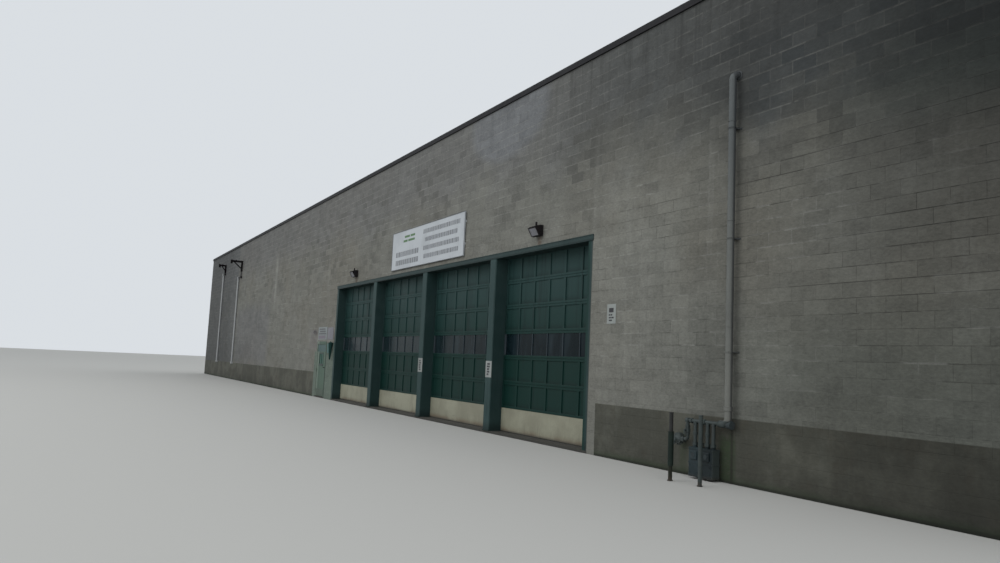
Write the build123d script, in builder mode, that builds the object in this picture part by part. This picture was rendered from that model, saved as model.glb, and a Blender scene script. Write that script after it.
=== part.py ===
from build123d import *
from math import atan2, degrees, floor, hypot
import os

# Long warehouse of concrete blocks, at half size.
# Every length here is a model millimetre, and so half of the real one.
# Seen from the street, +X is to the right, +Y goes into the building and +Z is up.
# The origin is the middle of the footprint, on the ground.

# Building
building_length = 26416.0
building_depth = 12192.0
wall_height = 3860.8
wall_thickness = 152.4
right_wall_length = 4267.2
floor_thickness = 25.0

# Bays for the overhead doors
bay_count = 4
bay_width = 1828.8
bay_height = 2032.0
post_width = 152.4
jamb_width = 76.2

# Lintel over the bays
lintel_soffit = 10.0
lintel_face_height = 43.0
lintel_face_thickness = 8.0
lintel_end_lap = 5.0
lintel_ledge_height = 6.0
lintel_ledge_depth = 12.0

# Overhead doors
section_count = 7
window_section = 3
kick_height = 262.0
column_count = 6
door_lap = 12.0
door_thickness = 22.0
door_stile = 45.0
section_rail = 22.0
panel_gap = 38.0
panel_relief = 5.0
joint_height = 4.0
joint_depth = 3.0
seal_height = 8.0
seal_inset = 2.0
kick_thickness = 14.0
pane_thickness = 4.0
pane_inset = 9.0

# Tracks inside, beside each overhead door
track_clearance = 2.0
track_width = 30.0
track_depth = 45.0
track_steel = 3.0
track_rise = 118.0

# Personnel doorway
pier_width = 457.2
doorway_width = 609.6
doorway_height = 1066.8
frame_face = 50.8
frame_stop = 12.0
leaf_recess = 8.0
leaf_thickness = 22.0
leaf_clearance = 5.0
leaf_floor_gap = 6.0
leaf_window_width = 230.0
leaf_window_height = 190.0
leaf_window_sill = 640.0
leaf_pane_thickness = 6.0

# Hinges of the personnel door
hinge_count = 3
hinge_end_margin = 110.0
hinge_radius = 5.0
hinge_stand_off = 1.0
hinge_leaf_height = 20.0
hinge_frame_height = 15.0
hinge_gap = 0.4
hinge_plate_width = 26.0
hinge_plate_thickness = 3.0

# Lever of the personnel door
lever_backset = 30.0
lever_height = 575.0
lever_rose_radius = 12.0
lever_rose_depth = 5.0
lever_neck_radius = 4.0
lever_reach = 24.0
lever_length = 58.0
lever_bar_height = 9.0
lever_bar_depth = 6.0

# Roof
parapet_height = 250.0
deck_thickness = 50.0
beam_spacing = 2438.4
beam_height = 300.0
beam_width = 150.0
beam_flange = 16.0
beam_web = 10.0

# Coping
coping_height = 65.0
coping_overhang = 14.0
coping_lip_height = 20.0
coping_lip_depth = 6.0

# Sign board over the bays
board_width = 2475.0
board_height = 582.0
board_thickness = 10.0
board_stand_off = 12.0
board_from_jamb = 2750.0
board_bottom = 2138.0
board_batten_height = 30.0

# Small boards and plates
door_sign_width = 570.0
door_sign_height = 240.0
door_sign_rise = 33.0
plain_board_width = 350.0
plain_board_height = 225.0
plain_board_from_door = 32.0
sign_thickness = 6.0
plate_width = 140.0
plate_height = 190.0
plate_bottom = 635.0
plate_thickness = 4.0
notice_width = 130.0
notice_height = 180.0
notice_bottom = 1210.0
notice_from_jamb = 255.0

# Flood lamps
lamp_right_from_jamb = 975.0
lamp_left_from_jamb = 6900.0
lamp_height = 2258.0
lamp_box_width = 130.0
lamp_box_height = 115.0
lamp_box_below = 25.0
lamp_box_depth = 40.0
lamp_width = 150.0
lamp_reach = 104.0
lamp_back_rise = 32.0
lamp_back_drop = 90.0
lamp_lens_lean = 50.0
lamp_lens_drop = 83.0
lamp_visor_rise = 4.0
lamp_visor_thickness = 4.0
lamp_visor_overhang = 8.0
lamp_knob_radius = 11.0
lamp_knob_height = 36.0

# Small fixture left of the doorway
fixture_from_doorway = 133.0
fixture_above_board = 115.2
fixture_width = 40.0
fixture_tall = 60.0
fixture_depth = 60.0

# Flat box and lantern on the pier
pier_box_width = 250.0
pier_box_height = 175.0
pier_box_depth = 15.0
pier_box_below_board = 74.8
pier_box_from_doorway = 91.0
lantern_from_bays = 66.0
lantern_stand_off = 48.0
lantern_below_board = 69.8
lantern_height = 290.0
lantern_top_radius = 38.0
lantern_tip_radius = 12.0
lantern_arm = 18.0

# Knee brackets and conduits near the left end
bracket_1_from_left = 5150.0
bracket_1_below_coping = 470.8
bracket_1_reach = 340.0
bracket_1_drop = 305.0
bracket_2_from_left = 2560.0
bracket_2_below_coping = 360.8
bracket_2_reach = 230.0
bracket_2_drop = 260.0
bracket_bar = 46.0
conduit_from_bracket_1 = 350.0
conduit_from_bracket_2 = 220.0
conduit_below_bracket_1 = 465.0
conduit_below_bracket_2 = 300.0
conduit_bottom = 475.0
conduit_radius = 24.0
conduit_gap = 4.0
conduit_box_width = 62.0
conduit_box_height = 60.0
strap_height = 10.0
strap_spacing = 800.0

# Tall pipe and gas meters on the right wall
pipe_from_jamb = 1825.0
pipe_radius = 27.5
pipe_axis_out = 60.0
pipe_below_coping = 765.8
pipe_bottom = 430.0
pipe_bend = 45.0
pipe_foot = 70.0
coupling_height = 24.0
coupling_wall = 5.0
coupling_bottom = 535.0
gas_pipe_radius = 14.0
gas_drop_from_pipe = 419.0
gas_drop_bottom = 283.0
gas_bend = 20.0
gas_stub = 36.0
regulator_radius = 43.0
regulator_depth = 38.0
regulator_boss_length = 17.0
meter_1_from_pipe = 363.0
meter_1_width = 120.0
meter_2_from_pipe = 233.0
meter_2_width = 120.0
meter_bottom = 15.0
meter_height = 220.0
meter_depth = 85.0
meter_corner = 12.0
meter_neck_radius = 17.0
meter_neck_height = 26.0
meter_neck_offset = 30.0

# Guard posts in front of the meters
guard_1_from_pipe = 257.0
guard_1_out = 375.0
guard_2_from_pipe = 18.0
guard_2_out = 345.0
guard_height = 500.0
guard_radius = 15.0
guard_sleeve_radius = 21.0
guard_sleeve_bottom = 110.0
guard_sleeve_height = 250.0

# Planes and lines that follow from the sizes above
right_x = building_length / 2
left_x = -right_x
front_y = -building_depth / 2
rear_y = building_depth / 2
inner_front_y = front_y + wall_thickness
inner_rear_y = rear_y - wall_thickness
inner_left_x = left_x + wall_thickness
inner_right_x = right_x - wall_thickness
bays_right = right_x - right_wall_length
bays_width = bay_count * bay_width + (bay_count - 1) * post_width + 2 * jamb_width
bays_left = bays_right - bays_width
doorway_right = bays_left - pier_width
doorway_left = doorway_right - doorway_width
bay_pitch = bay_width + post_width
bay_centres = [bays_left + jamb_width + bay_width / 2 + i * bay_pitch for i in range(bay_count)]
post_bottom = floor_thickness
post_top = bay_height - lintel_soffit
deck_top = wall_height - parapet_height
deck_bottom = deck_top - deck_thickness


def save(piece, name):
    piece.part.label = name
    export_step(piece.part, f"parts/{name}.step")


def slab(x, y, z):
    """Adds the block between two values of x, two of y and two of z."""
    with Locations(((x[0] + x[1]) / 2, (y[0] + y[1]) / 2, (z[0] + z[1]) / 2)):
        Box(x[1] - x[0], y[1] - y[0], z[1] - z[0])


def street_face(x, y, z):
    """A plane that looks out to the street, with its own x along the wall and its own y upwards."""
    return Plane(origin=(x, y, z), x_dir=(1, 0, 0), z_dir=(0, -1, 0))


def side_face(x, y, z):
    """A plane that looks along the wall to the right, with its own x out to the street."""
    return Plane(origin=(x, y, z), x_dir=(0, -1, 0), z_dir=(-1, 0, 0))


os.makedirs("parts", exist_ok=True)

# Front wall, split beside and over its two openings
with BuildPart() as front_wall_left:
    slab((left_x, doorway_left), (front_y, inner_front_y), (0, wall_height))
save(front_wall_left, "front_wall_left")

with BuildPart() as front_wall_over_doorway:
    slab((doorway_left, doorway_right), (front_y, inner_front_y), (doorway_height, wall_height))
save(front_wall_over_doorway, "front_wall_over_doorway")

with BuildPart() as front_wall_pier:
    slab((doorway_right, bays_left), (front_y, inner_front_y), (0, wall_height))
save(front_wall_pier, "front_wall_pier")

with BuildPart() as front_wall_over_bays:
    slab((bays_left, bays_right), (front_y, inner_front_y), (bay_height, wall_height))
save(front_wall_over_bays, "front_wall_over_bays")

with BuildPart() as front_wall_right:
    slab((bays_right, right_x), (front_y, inner_front_y), (0, wall_height))
save(front_wall_right, "front_wall_right")

# Walls on the other sides
with BuildPart() as left_wall:
    slab((left_x, inner_left_x), (inner_front_y, inner_rear_y), (0, wall_height))
save(left_wall, "left_wall")

with BuildPart() as right_wall:
    slab((inner_right_x, right_x), (inner_front_y, inner_rear_y), (0, wall_height))
save(right_wall, "right_wall")

with BuildPart() as rear_wall:
    slab((left_x, right_x), (inner_rear_y, rear_y), (0, wall_height))
save(rear_wall, "rear_wall")

# Floor, which runs out under both openings to the face of the wall
with BuildPart() as floor_slab:
    slab((inner_left_x, inner_right_x), (inner_front_y, inner_rear_y), (0, floor_thickness))
    slab((doorway_left, doorway_right), (front_y, inner_front_y), (0, floor_thickness))
    slab((bays_left, bays_right), (front_y, inner_front_y), (0, floor_thickness))
save(floor_slab, "floor")

# Roof deck below the parapet
with BuildPart() as roof_deck:
    slab((inner_left_x, inner_right_x), (inner_front_y, inner_rear_y), (deck_bottom, deck_top))
save(roof_deck, "roof_deck")

# Steel beams from the front wall to the rear wall
beam_count = floor((inner_right_x - inner_left_x) / beam_spacing)
beam_middle = deck_bottom - beam_height / 2
with BuildPart() as roof_beams:
    with BuildSketch(Plane.XZ.offset(-inner_rear_y)):
        with Locations((0, beam_middle)):
            with GridLocations(beam_spacing, 1, beam_count, 1):
                Rectangle(beam_web, beam_height)
        for flange_z in (deck_bottom - beam_flange / 2, deck_bottom - beam_height + beam_flange / 2):
            with Locations((0, flange_z)):
                with GridLocations(beam_spacing, 1, beam_count, 1):
                    Rectangle(beam_width, beam_flange)
    extrude(amount=inner_rear_y - inner_front_y)
save(roof_beams, "roof_beams")

# Coping: a metal cap with a drip lip on both sides of each wall
coping_width = wall_thickness + 2 * coping_overhang
lip_width = coping_width + 2 * coping_lip_depth
coping_out = coping_overhang + coping_lip_depth
coping_length = building_length + 2 * coping_out
side_coping_length = building_depth - 2 * wall_thickness - 2 * coping_out
long_copings = {
    "coping_front": front_y + wall_thickness / 2,
    "coping_rear": rear_y - wall_thickness / 2,
}
for name, wall_middle in long_copings.items():
    with BuildPart() as long_coping:
        with BuildSketch(Plane.YZ.offset(-coping_length / 2)):
            with Locations((wall_middle, wall_height)):
                Rectangle(coping_width, coping_height, align=(Align.CENTER, Align.MIN))
                Rectangle(lip_width, coping_lip_height, align=(Align.CENTER, Align.MIN))
        extrude(amount=coping_length)
    save(long_coping, name)

short_copings = {
    "coping_left": left_x + wall_thickness / 2,
    "coping_right": right_x - wall_thickness / 2,
}
for name, wall_middle in short_copings.items():
    with BuildPart() as short_coping:
        with BuildSketch(Plane.XZ.offset(-side_coping_length / 2)):
            with Locations((wall_middle, wall_height)):
                Rectangle(coping_width, coping_height, align=(Align.CENTER, Align.MIN))
                Rectangle(lip_width, coping_lip_height, align=(Align.CENTER, Align.MIN))
        extrude(amount=side_coping_length)
    save(short_coping, name)

# Steel lintel: a soffit under the blocks, a face strip on the wall and a ledge along its top
lintel_top = post_top + lintel_soffit + lintel_face_height
lintel_left = bays_left - lintel_end_lap
lintel_right = bays_right + lintel_end_lap
with BuildPart() as lintel:
    slab((bays_left, bays_right), (front_y, inner_front_y), (post_top, bay_height))
    slab((lintel_left, lintel_right), (front_y - lintel_face_thickness, front_y), (post_top, lintel_top))
    slab(
        (lintel_left, lintel_right),
        (front_y - lintel_ledge_depth, front_y),
        (lintel_top, lintel_top + lintel_ledge_height),
    )
save(lintel, "lintel")

# Steel jambs and posts, flush with both faces of the wall
with BuildPart() as jamb_left:
    slab((bays_left, bays_left + jamb_width), (front_y, inner_front_y), (post_bottom, post_top))
save(jamb_left, "jamb_left")

with BuildPart() as jamb_right:
    slab((bays_right - jamb_width, bays_right), (front_y, inner_front_y), (post_bottom, post_top))
save(jamb_right, "jamb_right")

for number in range(1, bay_count):
    post_left = bays_left + jamb_width + number * bay_width + (number - 1) * post_width
    with BuildPart() as post:
        slab((post_left, post_left + post_width), (front_y, inner_front_y), (post_bottom, post_top))
    save(post, f"post_{number}")

# Overhead doors, against the inner face of the wall and the posts
door_width = bay_width + 2 * door_lap
door_bottom = floor_thickness + seal_height
door_top = bay_height + door_lap
green_height = door_top - door_bottom - kick_height
section_height = green_height / (section_count - 1)
column_width = (door_width - 2 * door_stile + panel_gap) / column_count
glazed_width = door_width - 2 * door_stile
glazed_height = section_height - 2 * section_rail
glazed_middle = kick_height + (window_section - 0.5) * section_height
panel_rows = [row for row in range(1, section_count) if row != window_section]
for number, centre in enumerate(bay_centres, start=1):
    with BuildPart() as overhead_door:
        with BuildSketch(street_face(centre, inner_front_y, door_bottom)):
            with Locations((0, kick_height)):
                Rectangle(door_width, green_height, align=(Align.CENTER, Align.MIN))
            with Locations((0, glazed_middle)):
                Rectangle(glazed_width, glazed_height, mode=Mode.SUBTRACT)
        extrude(amount=-door_thickness)
        with BuildSketch(street_face(centre, inner_front_y, door_bottom)):
            for row in panel_rows:
                with Locations((0, kick_height + (row - 0.5) * section_height)):
                    with GridLocations(column_width, 1, column_count, 1):
                        Rectangle(column_width - panel_gap, section_height - 2 * section_rail)
        extrude(amount=-panel_relief, mode=Mode.SUBTRACT)
        with BuildSketch(street_face(centre, inner_front_y, door_bottom)):
            for row in range(2, section_count):
                with Locations((0, kick_height + (row - 1) * section_height)):
                    Rectangle(door_width, joint_height)
        extrude(amount=-joint_depth, mode=Mode.SUBTRACT)
    save(overhead_door, f"overhead_door_{number}")

with BuildPart() as kick_panels:
    for centre in bay_centres:
        with BuildSketch(street_face(centre, inner_front_y, door_bottom)):
            Rectangle(door_width, kick_height, align=(Align.CENTER, Align.MIN))
        extrude(amount=-kick_thickness)
save(kick_panels, "kick_panels")

with BuildPart() as door_glass:
    for centre in bay_centres:
        with BuildSketch(street_face(centre, inner_front_y + pane_inset, door_bottom + glazed_middle)):
            Rectangle(glazed_width, glazed_height)
        extrude(amount=-pane_thickness)
save(door_glass, "door_glass")

with BuildPart() as bottom_seals:
    for centre in bay_centres:
        with BuildSketch(street_face(centre, inner_front_y + seal_inset, floor_thickness)):
            Rectangle(door_width, seal_height, align=(Align.CENTER, Align.MIN))
        extrude(amount=-(kick_thickness - seal_inset))
save(bottom_seals, "bottom_seals")

# Steel angles beside each overhead door, on the inner face of the wall and the posts
track_height = bay_height + track_rise - floor_thickness
with BuildPart() as door_tracks:
    for centre in bay_centres:
        for side in (-1, 1):
            corner_x = centre + side * (door_width / 2 + track_clearance)
            with BuildSketch(Plane.XY.offset(floor_thickness)):
                with Locations((corner_x + side * track_width / 2, inner_front_y)):
                    Rectangle(track_width, track_steel, align=(Align.CENTER, Align.MIN))
                with Locations((corner_x + side * track_steel / 2, inner_front_y)):
                    Rectangle(track_steel, track_depth, align=(Align.CENTER, Align.MIN))
            extrude(amount=track_height)
save(door_tracks, "door_tracks")

# Leaf of the personnel door and the line of its hinge pins
frame_left = doorway_left + frame_face
frame_right = doorway_right - frame_face
frame_top = doorway_height - frame_face
leaf_left = frame_left + leaf_clearance
leaf_right = frame_right - leaf_clearance
leaf_bottom = floor_thickness + leaf_floor_gap
leaf_top = frame_top - leaf_clearance
leaf_face_y = front_y + leaf_recess
leaf_back_y = leaf_face_y + leaf_thickness
pin_x = frame_left + leaf_clearance / 2
pin_y = front_y - hinge_stand_off - hinge_radius
hinge_travel = leaf_top - leaf_bottom - 2 * hinge_end_margin
hinge_heights = [
    leaf_bottom + hinge_end_margin + i * hinge_travel / (hinge_count - 1) for i in range(hinge_count)
]

# Steel frame of the personnel doorway, with a stop behind the leaf
stop_y = leaf_back_y + leaf_clearance
knuckle_offset = (hinge_leaf_height + hinge_frame_height) / 2 + hinge_gap
with BuildPart() as personnel_frame:
    slab((doorway_left, frame_left), (front_y, inner_front_y), (floor_thickness, doorway_height))
    slab((frame_right, doorway_right), (front_y, inner_front_y), (floor_thickness, doorway_height))
    slab((frame_left, frame_right), (front_y, inner_front_y), (frame_top, doorway_height))
    slab((frame_left, frame_left + frame_stop), (stop_y, inner_front_y), (floor_thickness, frame_top))
    slab((frame_right - frame_stop, frame_right), (stop_y, inner_front_y), (floor_thickness, frame_top))
    slab((frame_left, frame_right), (stop_y, inner_front_y), (frame_top - frame_stop, frame_top))
    for hinge_z in hinge_heights:
        for knuckle_z in (hinge_z - knuckle_offset, hinge_z + knuckle_offset):
            with Locations((pin_x, pin_y, knuckle_z)):
                Cylinder(hinge_radius, hinge_frame_height)
            with Locations((pin_x, pin_y, knuckle_z)):
                Box(
                    hinge_plate_width,
                    front_y - pin_y,
                    hinge_frame_height,
                    align=(Align.MAX, Align.MIN, Align.CENTER),
                )
save(personnel_frame, "personnel_frame")

with BuildPart() as personnel_leaf:
    slab((leaf_left, leaf_right), (leaf_face_y, leaf_back_y), (leaf_bottom, leaf_top))
    with BuildSketch(street_face((leaf_left + leaf_right) / 2, leaf_face_y, leaf_window_sill)):
        Rectangle(leaf_window_width, leaf_window_height, align=(Align.CENTER, Align.MIN))
    extrude(amount=-leaf_thickness, mode=Mode.SUBTRACT)
    for hinge_z in hinge_heights:
        with Locations((pin_x, pin_y, hinge_z)):
            Cylinder(hinge_radius, hinge_leaf_height)
            Box(
                hinge_radius + leaf_clearance,
                leaf_face_y - pin_y,
                hinge_leaf_height,
                align=(Align.MIN, Align.MIN, Align.CENTER),
            )
        with Locations((leaf_left, leaf_face_y, hinge_z)):
            Box(
                hinge_plate_width,
                hinge_plate_thickness,
                hinge_leaf_height,
                align=(Align.MIN, Align.MAX, Align.CENTER),
            )
save(personnel_leaf, "personnel_leaf")

with BuildPart() as personnel_glass:
    pane_y = (leaf_face_y + leaf_back_y - leaf_pane_thickness) / 2
    with BuildSketch(street_face((leaf_left + leaf_right) / 2, pane_y, leaf_window_sill)):
        Rectangle(leaf_window_width, leaf_window_height, align=(Align.CENTER, Align.MIN))
    extrude(amount=-leaf_pane_thickness)
save(personnel_glass, "personnel_glass")

# Lever handle on both faces of the leaf
lever_x = leaf_right - lever_backset
with BuildPart() as personnel_lever:
    for face_y, outward in ((leaf_face_y, -1), (leaf_back_y, 1)):
        with BuildSketch(street_face(lever_x, face_y, lever_height)):
            Circle(lever_rose_radius)
        extrude(amount=-outward * lever_rose_depth)
        with BuildSketch(street_face(lever_x, face_y, lever_height)):
            Circle(lever_neck_radius)
        extrude(amount=-outward * lever_reach)
        bar_y = face_y + outward * lever_reach
        slab(
            (lever_x - lever_length + lever_neck_radius, lever_x + lever_neck_radius),
            sorted((bar_y, bar_y - outward * lever_bar_depth)),
            (lever_height - lever_bar_height / 2, lever_height + lever_bar_height / 2),
        )
save(personnel_lever, "personnel_lever")

# Sign board over the bays, held off the wall by two battens
board_right = bays_right - board_from_jamb
board_left = board_right - board_width
board_top = board_bottom + board_height
batten_y = front_y - board_stand_off
with BuildPart() as sign_board:
    slab((board_left, board_right), (batten_y - board_thickness, batten_y), (board_bottom, board_top))
    for batten_z in (board_bottom + board_height / 4, board_bottom + 3 * board_height / 4):
        slab((board_left, board_right), (batten_y, front_y), (batten_z, batten_z + board_batten_height))
save(sign_board, "sign_board")

# Board over the personnel door and the plain board beside it
sign_bottom = doorway_height + door_sign_rise
sign_right = doorway_right
with BuildPart() as door_sign:
    slab(
        (sign_right - door_sign_width, sign_right),
        (front_y - sign_thickness, front_y),
        (sign_bottom, sign_bottom + door_sign_height),
    )
save(door_sign, "door_sign")

plain_left = sign_right + plain_board_from_door
with BuildPart() as plain_board:
    slab(
        (plain_left, plain_left + plain_board_width),
        (front_y - sign_thickness, front_y),
        (sign_bottom, sign_bottom + plain_board_height),
    )
save(plain_board, "plain_board")

# Small plates on the two right-hand posts, and one on the right wall
plate_posts = range(2, bay_count)
with BuildPart() as post_plates:
    for number in plate_posts:
        post_middle = bays_left + jamb_width + number * bay_pitch - post_width / 2
        with BuildSketch(street_face(post_middle, front_y, plate_bottom)):
            Rectangle(plate_width, plate_height, align=(Align.CENTER, Align.MIN))
        extrude(amount=plate_thickness)
save(post_plates, "post_plates")

with BuildPart() as wall_plate:
    with BuildSketch(street_face(bays_right + notice_from_jamb, front_y, notice_bottom)):
        Rectangle(notice_width, notice_height, align=(Align.MIN, Align.MIN))
    extrude(amount=plate_thickness)
save(wall_plate, "wall_plate")

# Flood lamps: a box on the wall, a housing with a leaning front, its visor and a knob
with BuildPart() as flood_lamps:
    for lamp_x in (bays_right - lamp_right_from_jamb, bays_right - lamp_left_from_jamb):
        box_y = front_y - lamp_box_depth
        slab(
            (lamp_x - lamp_box_width / 2, lamp_x + lamp_box_width / 2),
            (box_y, front_y),
            (
                lamp_height - lamp_box_below - lamp_box_height / 2,
                lamp_height - lamp_box_below + lamp_box_height / 2,
            ),
        )
        with BuildSketch(side_face(lamp_x - lamp_width / 2, front_y, lamp_height)):
            with BuildLine():
                Polyline(
                    (lamp_box_depth, lamp_back_rise),
                    (lamp_reach + lamp_visor_overhang, lamp_visor_rise),
                    (lamp_reach + lamp_visor_overhang, lamp_visor_rise - lamp_visor_thickness),
                    (lamp_reach, lamp_visor_rise - lamp_visor_thickness),
                    (lamp_reach - lamp_lens_lean, -lamp_lens_drop),
                    (lamp_box_depth, -lamp_back_drop),
                    close=True,
                )
            make_face()
        extrude(amount=-lamp_width)
        with Locations((lamp_x, box_y - lamp_knob_radius, lamp_height)):
            Cylinder(
                lamp_knob_radius,
                lamp_back_rise + lamp_knob_height,
                align=(Align.CENTER, Align.CENTER, Align.MIN),
            )
save(flood_lamps, "flood_lamps")

with BuildPart() as wall_fixture:
    fixture_x = doorway_left - fixture_from_doorway
    fixture_bottom = sign_bottom + fixture_above_board
    slab(
        (fixture_x - fixture_width / 2, fixture_x + fixture_width / 2),
        (front_y - fixture_depth, front_y),
        (fixture_bottom, fixture_bottom + fixture_tall),
    )
save(wall_fixture, "wall_fixture")

# Flat box and hanging lantern on the pier
box_left = doorway_right + pier_box_from_doorway
pier_box_top = sign_bottom - pier_box_below_board
with BuildPart() as pier_box:
    slab(
        (box_left, box_left + pier_box_width),
        (front_y - pier_box_depth, front_y),
        (pier_box_top - pier_box_height, pier_box_top),
    )
save(pier_box, "pier_box")

lantern_x = bays_left - lantern_from_bays
lantern_y = front_y - lantern_stand_off
lantern_top = sign_bottom - lantern_below_board
with BuildPart() as lantern:
    with Locations((lantern_x, lantern_y, lantern_top - lantern_height)):
        Cone(
            lantern_tip_radius,
            lantern_top_radius,
            lantern_height,
            align=(Align.CENTER, Align.CENTER, Align.MIN),
        )
    slab(
        (lantern_x - lantern_arm / 2, lantern_x + lantern_arm / 2),
        (lantern_y, front_y),
        (lantern_top - lantern_arm, lantern_top),
    )
save(lantern, "lantern")

# Knee brackets: an arm, a back bar on the wall and a slanting brace
bracket_1_top = wall_height - bracket_1_below_coping
bracket_2_top = wall_height - bracket_2_below_coping
brackets = (
    (left_x + bracket_1_from_left, bracket_1_top, bracket_1_reach, bracket_1_drop),
    (left_x + bracket_2_from_left, bracket_2_top, bracket_2_reach, bracket_2_drop),
)
with BuildPart() as knee_brackets:
    for bracket_x, top_z, reach, drop in brackets:
        brace_out = reach - 2 * bracket_bar
        brace_down = drop - 2 * bracket_bar
        brace_length = hypot(brace_out, brace_down)
        with BuildSketch(side_face(bracket_x - bracket_bar / 2, front_y, top_z)):
            Rectangle(reach, bracket_bar, align=(Align.MIN, Align.MAX))
            Rectangle(bracket_bar, drop, align=(Align.MIN, Align.MAX))
            with Locations((bracket_bar / 2 + brace_out / 2, -bracket_bar / 2 - brace_down / 2)):
                Rectangle(brace_length, bracket_bar / 2, rotation=degrees(atan2(brace_down, brace_out)))
        extrude(amount=-bracket_bar)
save(knee_brackets, "knee_brackets")

# Conduits with a box at both ends and straps to the wall
conduit_y = front_y - conduit_gap - conduit_radius
conduits_at = (
    (left_x + bracket_1_from_left - conduit_from_bracket_1, bracket_1_top - conduit_below_bracket_1),
    (left_x + bracket_2_from_left - conduit_from_bracket_2, bracket_2_top - conduit_below_bracket_2),
)
with BuildPart() as conduits:
    for conduit_x, top_z in conduits_at:
        run = top_z - conduit_bottom
        strap_count = max(1, floor(run / strap_spacing))
        with Locations((conduit_x, conduit_y, conduit_bottom)):
            Cylinder(conduit_radius, run, align=(Align.CENTER, Align.CENTER, Align.MIN))
        for end_z in (conduit_bottom, top_z):
            with Locations((conduit_x, front_y, end_z)):
                Box(
                    conduit_box_width,
                    conduit_gap + 2 * conduit_radius + conduit_gap,
                    conduit_box_height,
                    align=(Align.CENTER, Align.MAX, Align.CENTER),
                )
        for i in range(strap_count):
            strap_z = conduit_bottom + (i + 0.5) * run / strap_count
            with Locations((conduit_x, front_y, strap_z)):
                Box(
                    conduit_box_width,
                    conduit_gap + conduit_radius,
                    strap_height,
                    align=(Align.CENTER, Align.MAX, Align.CENTER),
                )
save(conduits, "conduits")

# Tall pipe: out of the wall at the top, down, and a foot that turns to the meters
pipe_x = bays_right + pipe_from_jamb
pipe_y = front_y - pipe_axis_out
pipe_top = wall_height - pipe_below_coping
with BuildPart() as tall_pipe:
    with BuildLine() as pipe_path:
        FilletPolyline(
            (pipe_x, front_y, pipe_top),
            (pipe_x, pipe_y, pipe_top),
            (pipe_x, pipe_y, pipe_bottom),
            (pipe_x - pipe_foot, pipe_y, pipe_bottom),
            radius=pipe_bend,
        )
    with BuildSketch(Plane(origin=pipe_path.line @ 0, z_dir=pipe_path.line % 0)):
        Circle(pipe_radius)
    sweep()
    with Locations((pipe_x, pipe_y, coupling_bottom)):
        Cylinder(
            pipe_radius + coupling_wall,
            coupling_height,
            align=(Align.CENTER, Align.CENTER, Align.MIN),
        )
    pipe_run = pipe_top - coupling_bottom
    pipe_straps = max(1, floor(pipe_run / strap_spacing))
    for i in range(pipe_straps):
        with Locations((pipe_x, front_y, coupling_bottom + (i + 0.5) * pipe_run / pipe_straps)):
            Box(
                2 * pipe_radius,
                pipe_axis_out,
                strap_height,
                align=(Align.CENTER, Align.MAX, Align.CENTER),
            )
save(tall_pipe, "tall_pipe")

# Gas pipework: a header with a drop to each meter neck and one to the regulator
drop_x = pipe_x - gas_drop_from_pipe
header_end = pipe_x - pipe_foot
meter_top = meter_bottom + meter_height
neck_top = meter_top + meter_neck_height
meter_middles = (
    pipe_x - meter_1_from_pipe + meter_1_width / 2,
    pipe_x - meter_2_from_pipe + meter_2_width / 2,
)
neck_places = [middle + side * meter_neck_offset for middle in meter_middles for side in (-1, 1)]
boss_x = drop_x - gas_stub
with BuildPart() as gas_pipework:
    with BuildLine() as gas_path:
        FilletPolyline(
            (header_end, pipe_y, pipe_bottom),
            (drop_x, pipe_y, pipe_bottom),
            (drop_x, pipe_y, gas_drop_bottom),
            (boss_x, pipe_y, gas_drop_bottom),
            radius=gas_bend,
        )
    with BuildSketch(Plane(origin=gas_path.line @ 0, z_dir=gas_path.line % 0)):
        Circle(gas_pipe_radius)
    sweep()
    for neck_x in neck_places:
        if neck_x < header_end - gas_pipe_radius:
            with Locations((neck_x, pipe_y, neck_top)):
                Cylinder(
                    gas_pipe_radius,
                    pipe_bottom - neck_top,
                    align=(Align.CENTER, Align.CENTER, Align.MIN),
                )
save(gas_pipework, "gas_pipework")

regulator_x = boss_x - regulator_boss_length - regulator_radius
with BuildPart() as regulator:
    with BuildSketch(street_face(regulator_x, pipe_y - regulator_depth / 2, gas_drop_bottom)):
        Circle(regulator_radius)
    extrude(amount=-regulator_depth)
    with Locations((boss_x, pipe_y, gas_drop_bottom)):
        Cylinder(
            gas_pipe_radius + coupling_wall,
            regulator_boss_length + regulator_radius,
            rotation=(0, 90, 0),
            align=(Align.CENTER, Align.CENTER, Align.MAX),
        )
save(regulator, "regulator")

for number, (middle, width) in enumerate(zip(meter_middles, (meter_1_width, meter_2_width)), start=1):
    with BuildPart() as meter:
        with BuildSketch(Plane.XY.offset(meter_bottom)):
            with Locations((middle, pipe_y)):
                RectangleRounded(width, meter_depth, meter_corner)
        extrude(amount=meter_height)
        with BuildSketch(Plane.XY.offset(meter_top)):
            for side in (-1, 1):
                with Locations((middle + side * meter_neck_offset, pipe_y)):
                    Circle(meter_neck_radius)
        extrude(amount=meter_neck_height)
    save(meter, f"gas_meter_{number}")

# Guard posts that stand in the ground in front of the meters
with BuildPart() as guard_posts:
    with Locations((pipe_x - guard_1_from_pipe, front_y - guard_1_out, 0)):
        Cylinder(guard_radius, guard_height, align=(Align.CENTER, Align.CENTER, Align.MIN))
    with Locations((pipe_x - guard_1_from_pipe, front_y - guard_1_out, guard_sleeve_bottom)):
        Cylinder(guard_sleeve_radius, guard_sleeve_height, align=(Align.CENTER, Align.CENTER, Align.MIN))
    with Locations((pipe_x + guard_2_from_pipe, front_y - guard_2_out, 0)):
        Cylinder(guard_radius, guard_height, align=(Align.CENTER, Align.CENTER, Align.MIN))
save(guard_posts, "guard_posts")
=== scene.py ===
import math
import random
import bmesh
import bpy
from mathutils import Matrix, Vector


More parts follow.
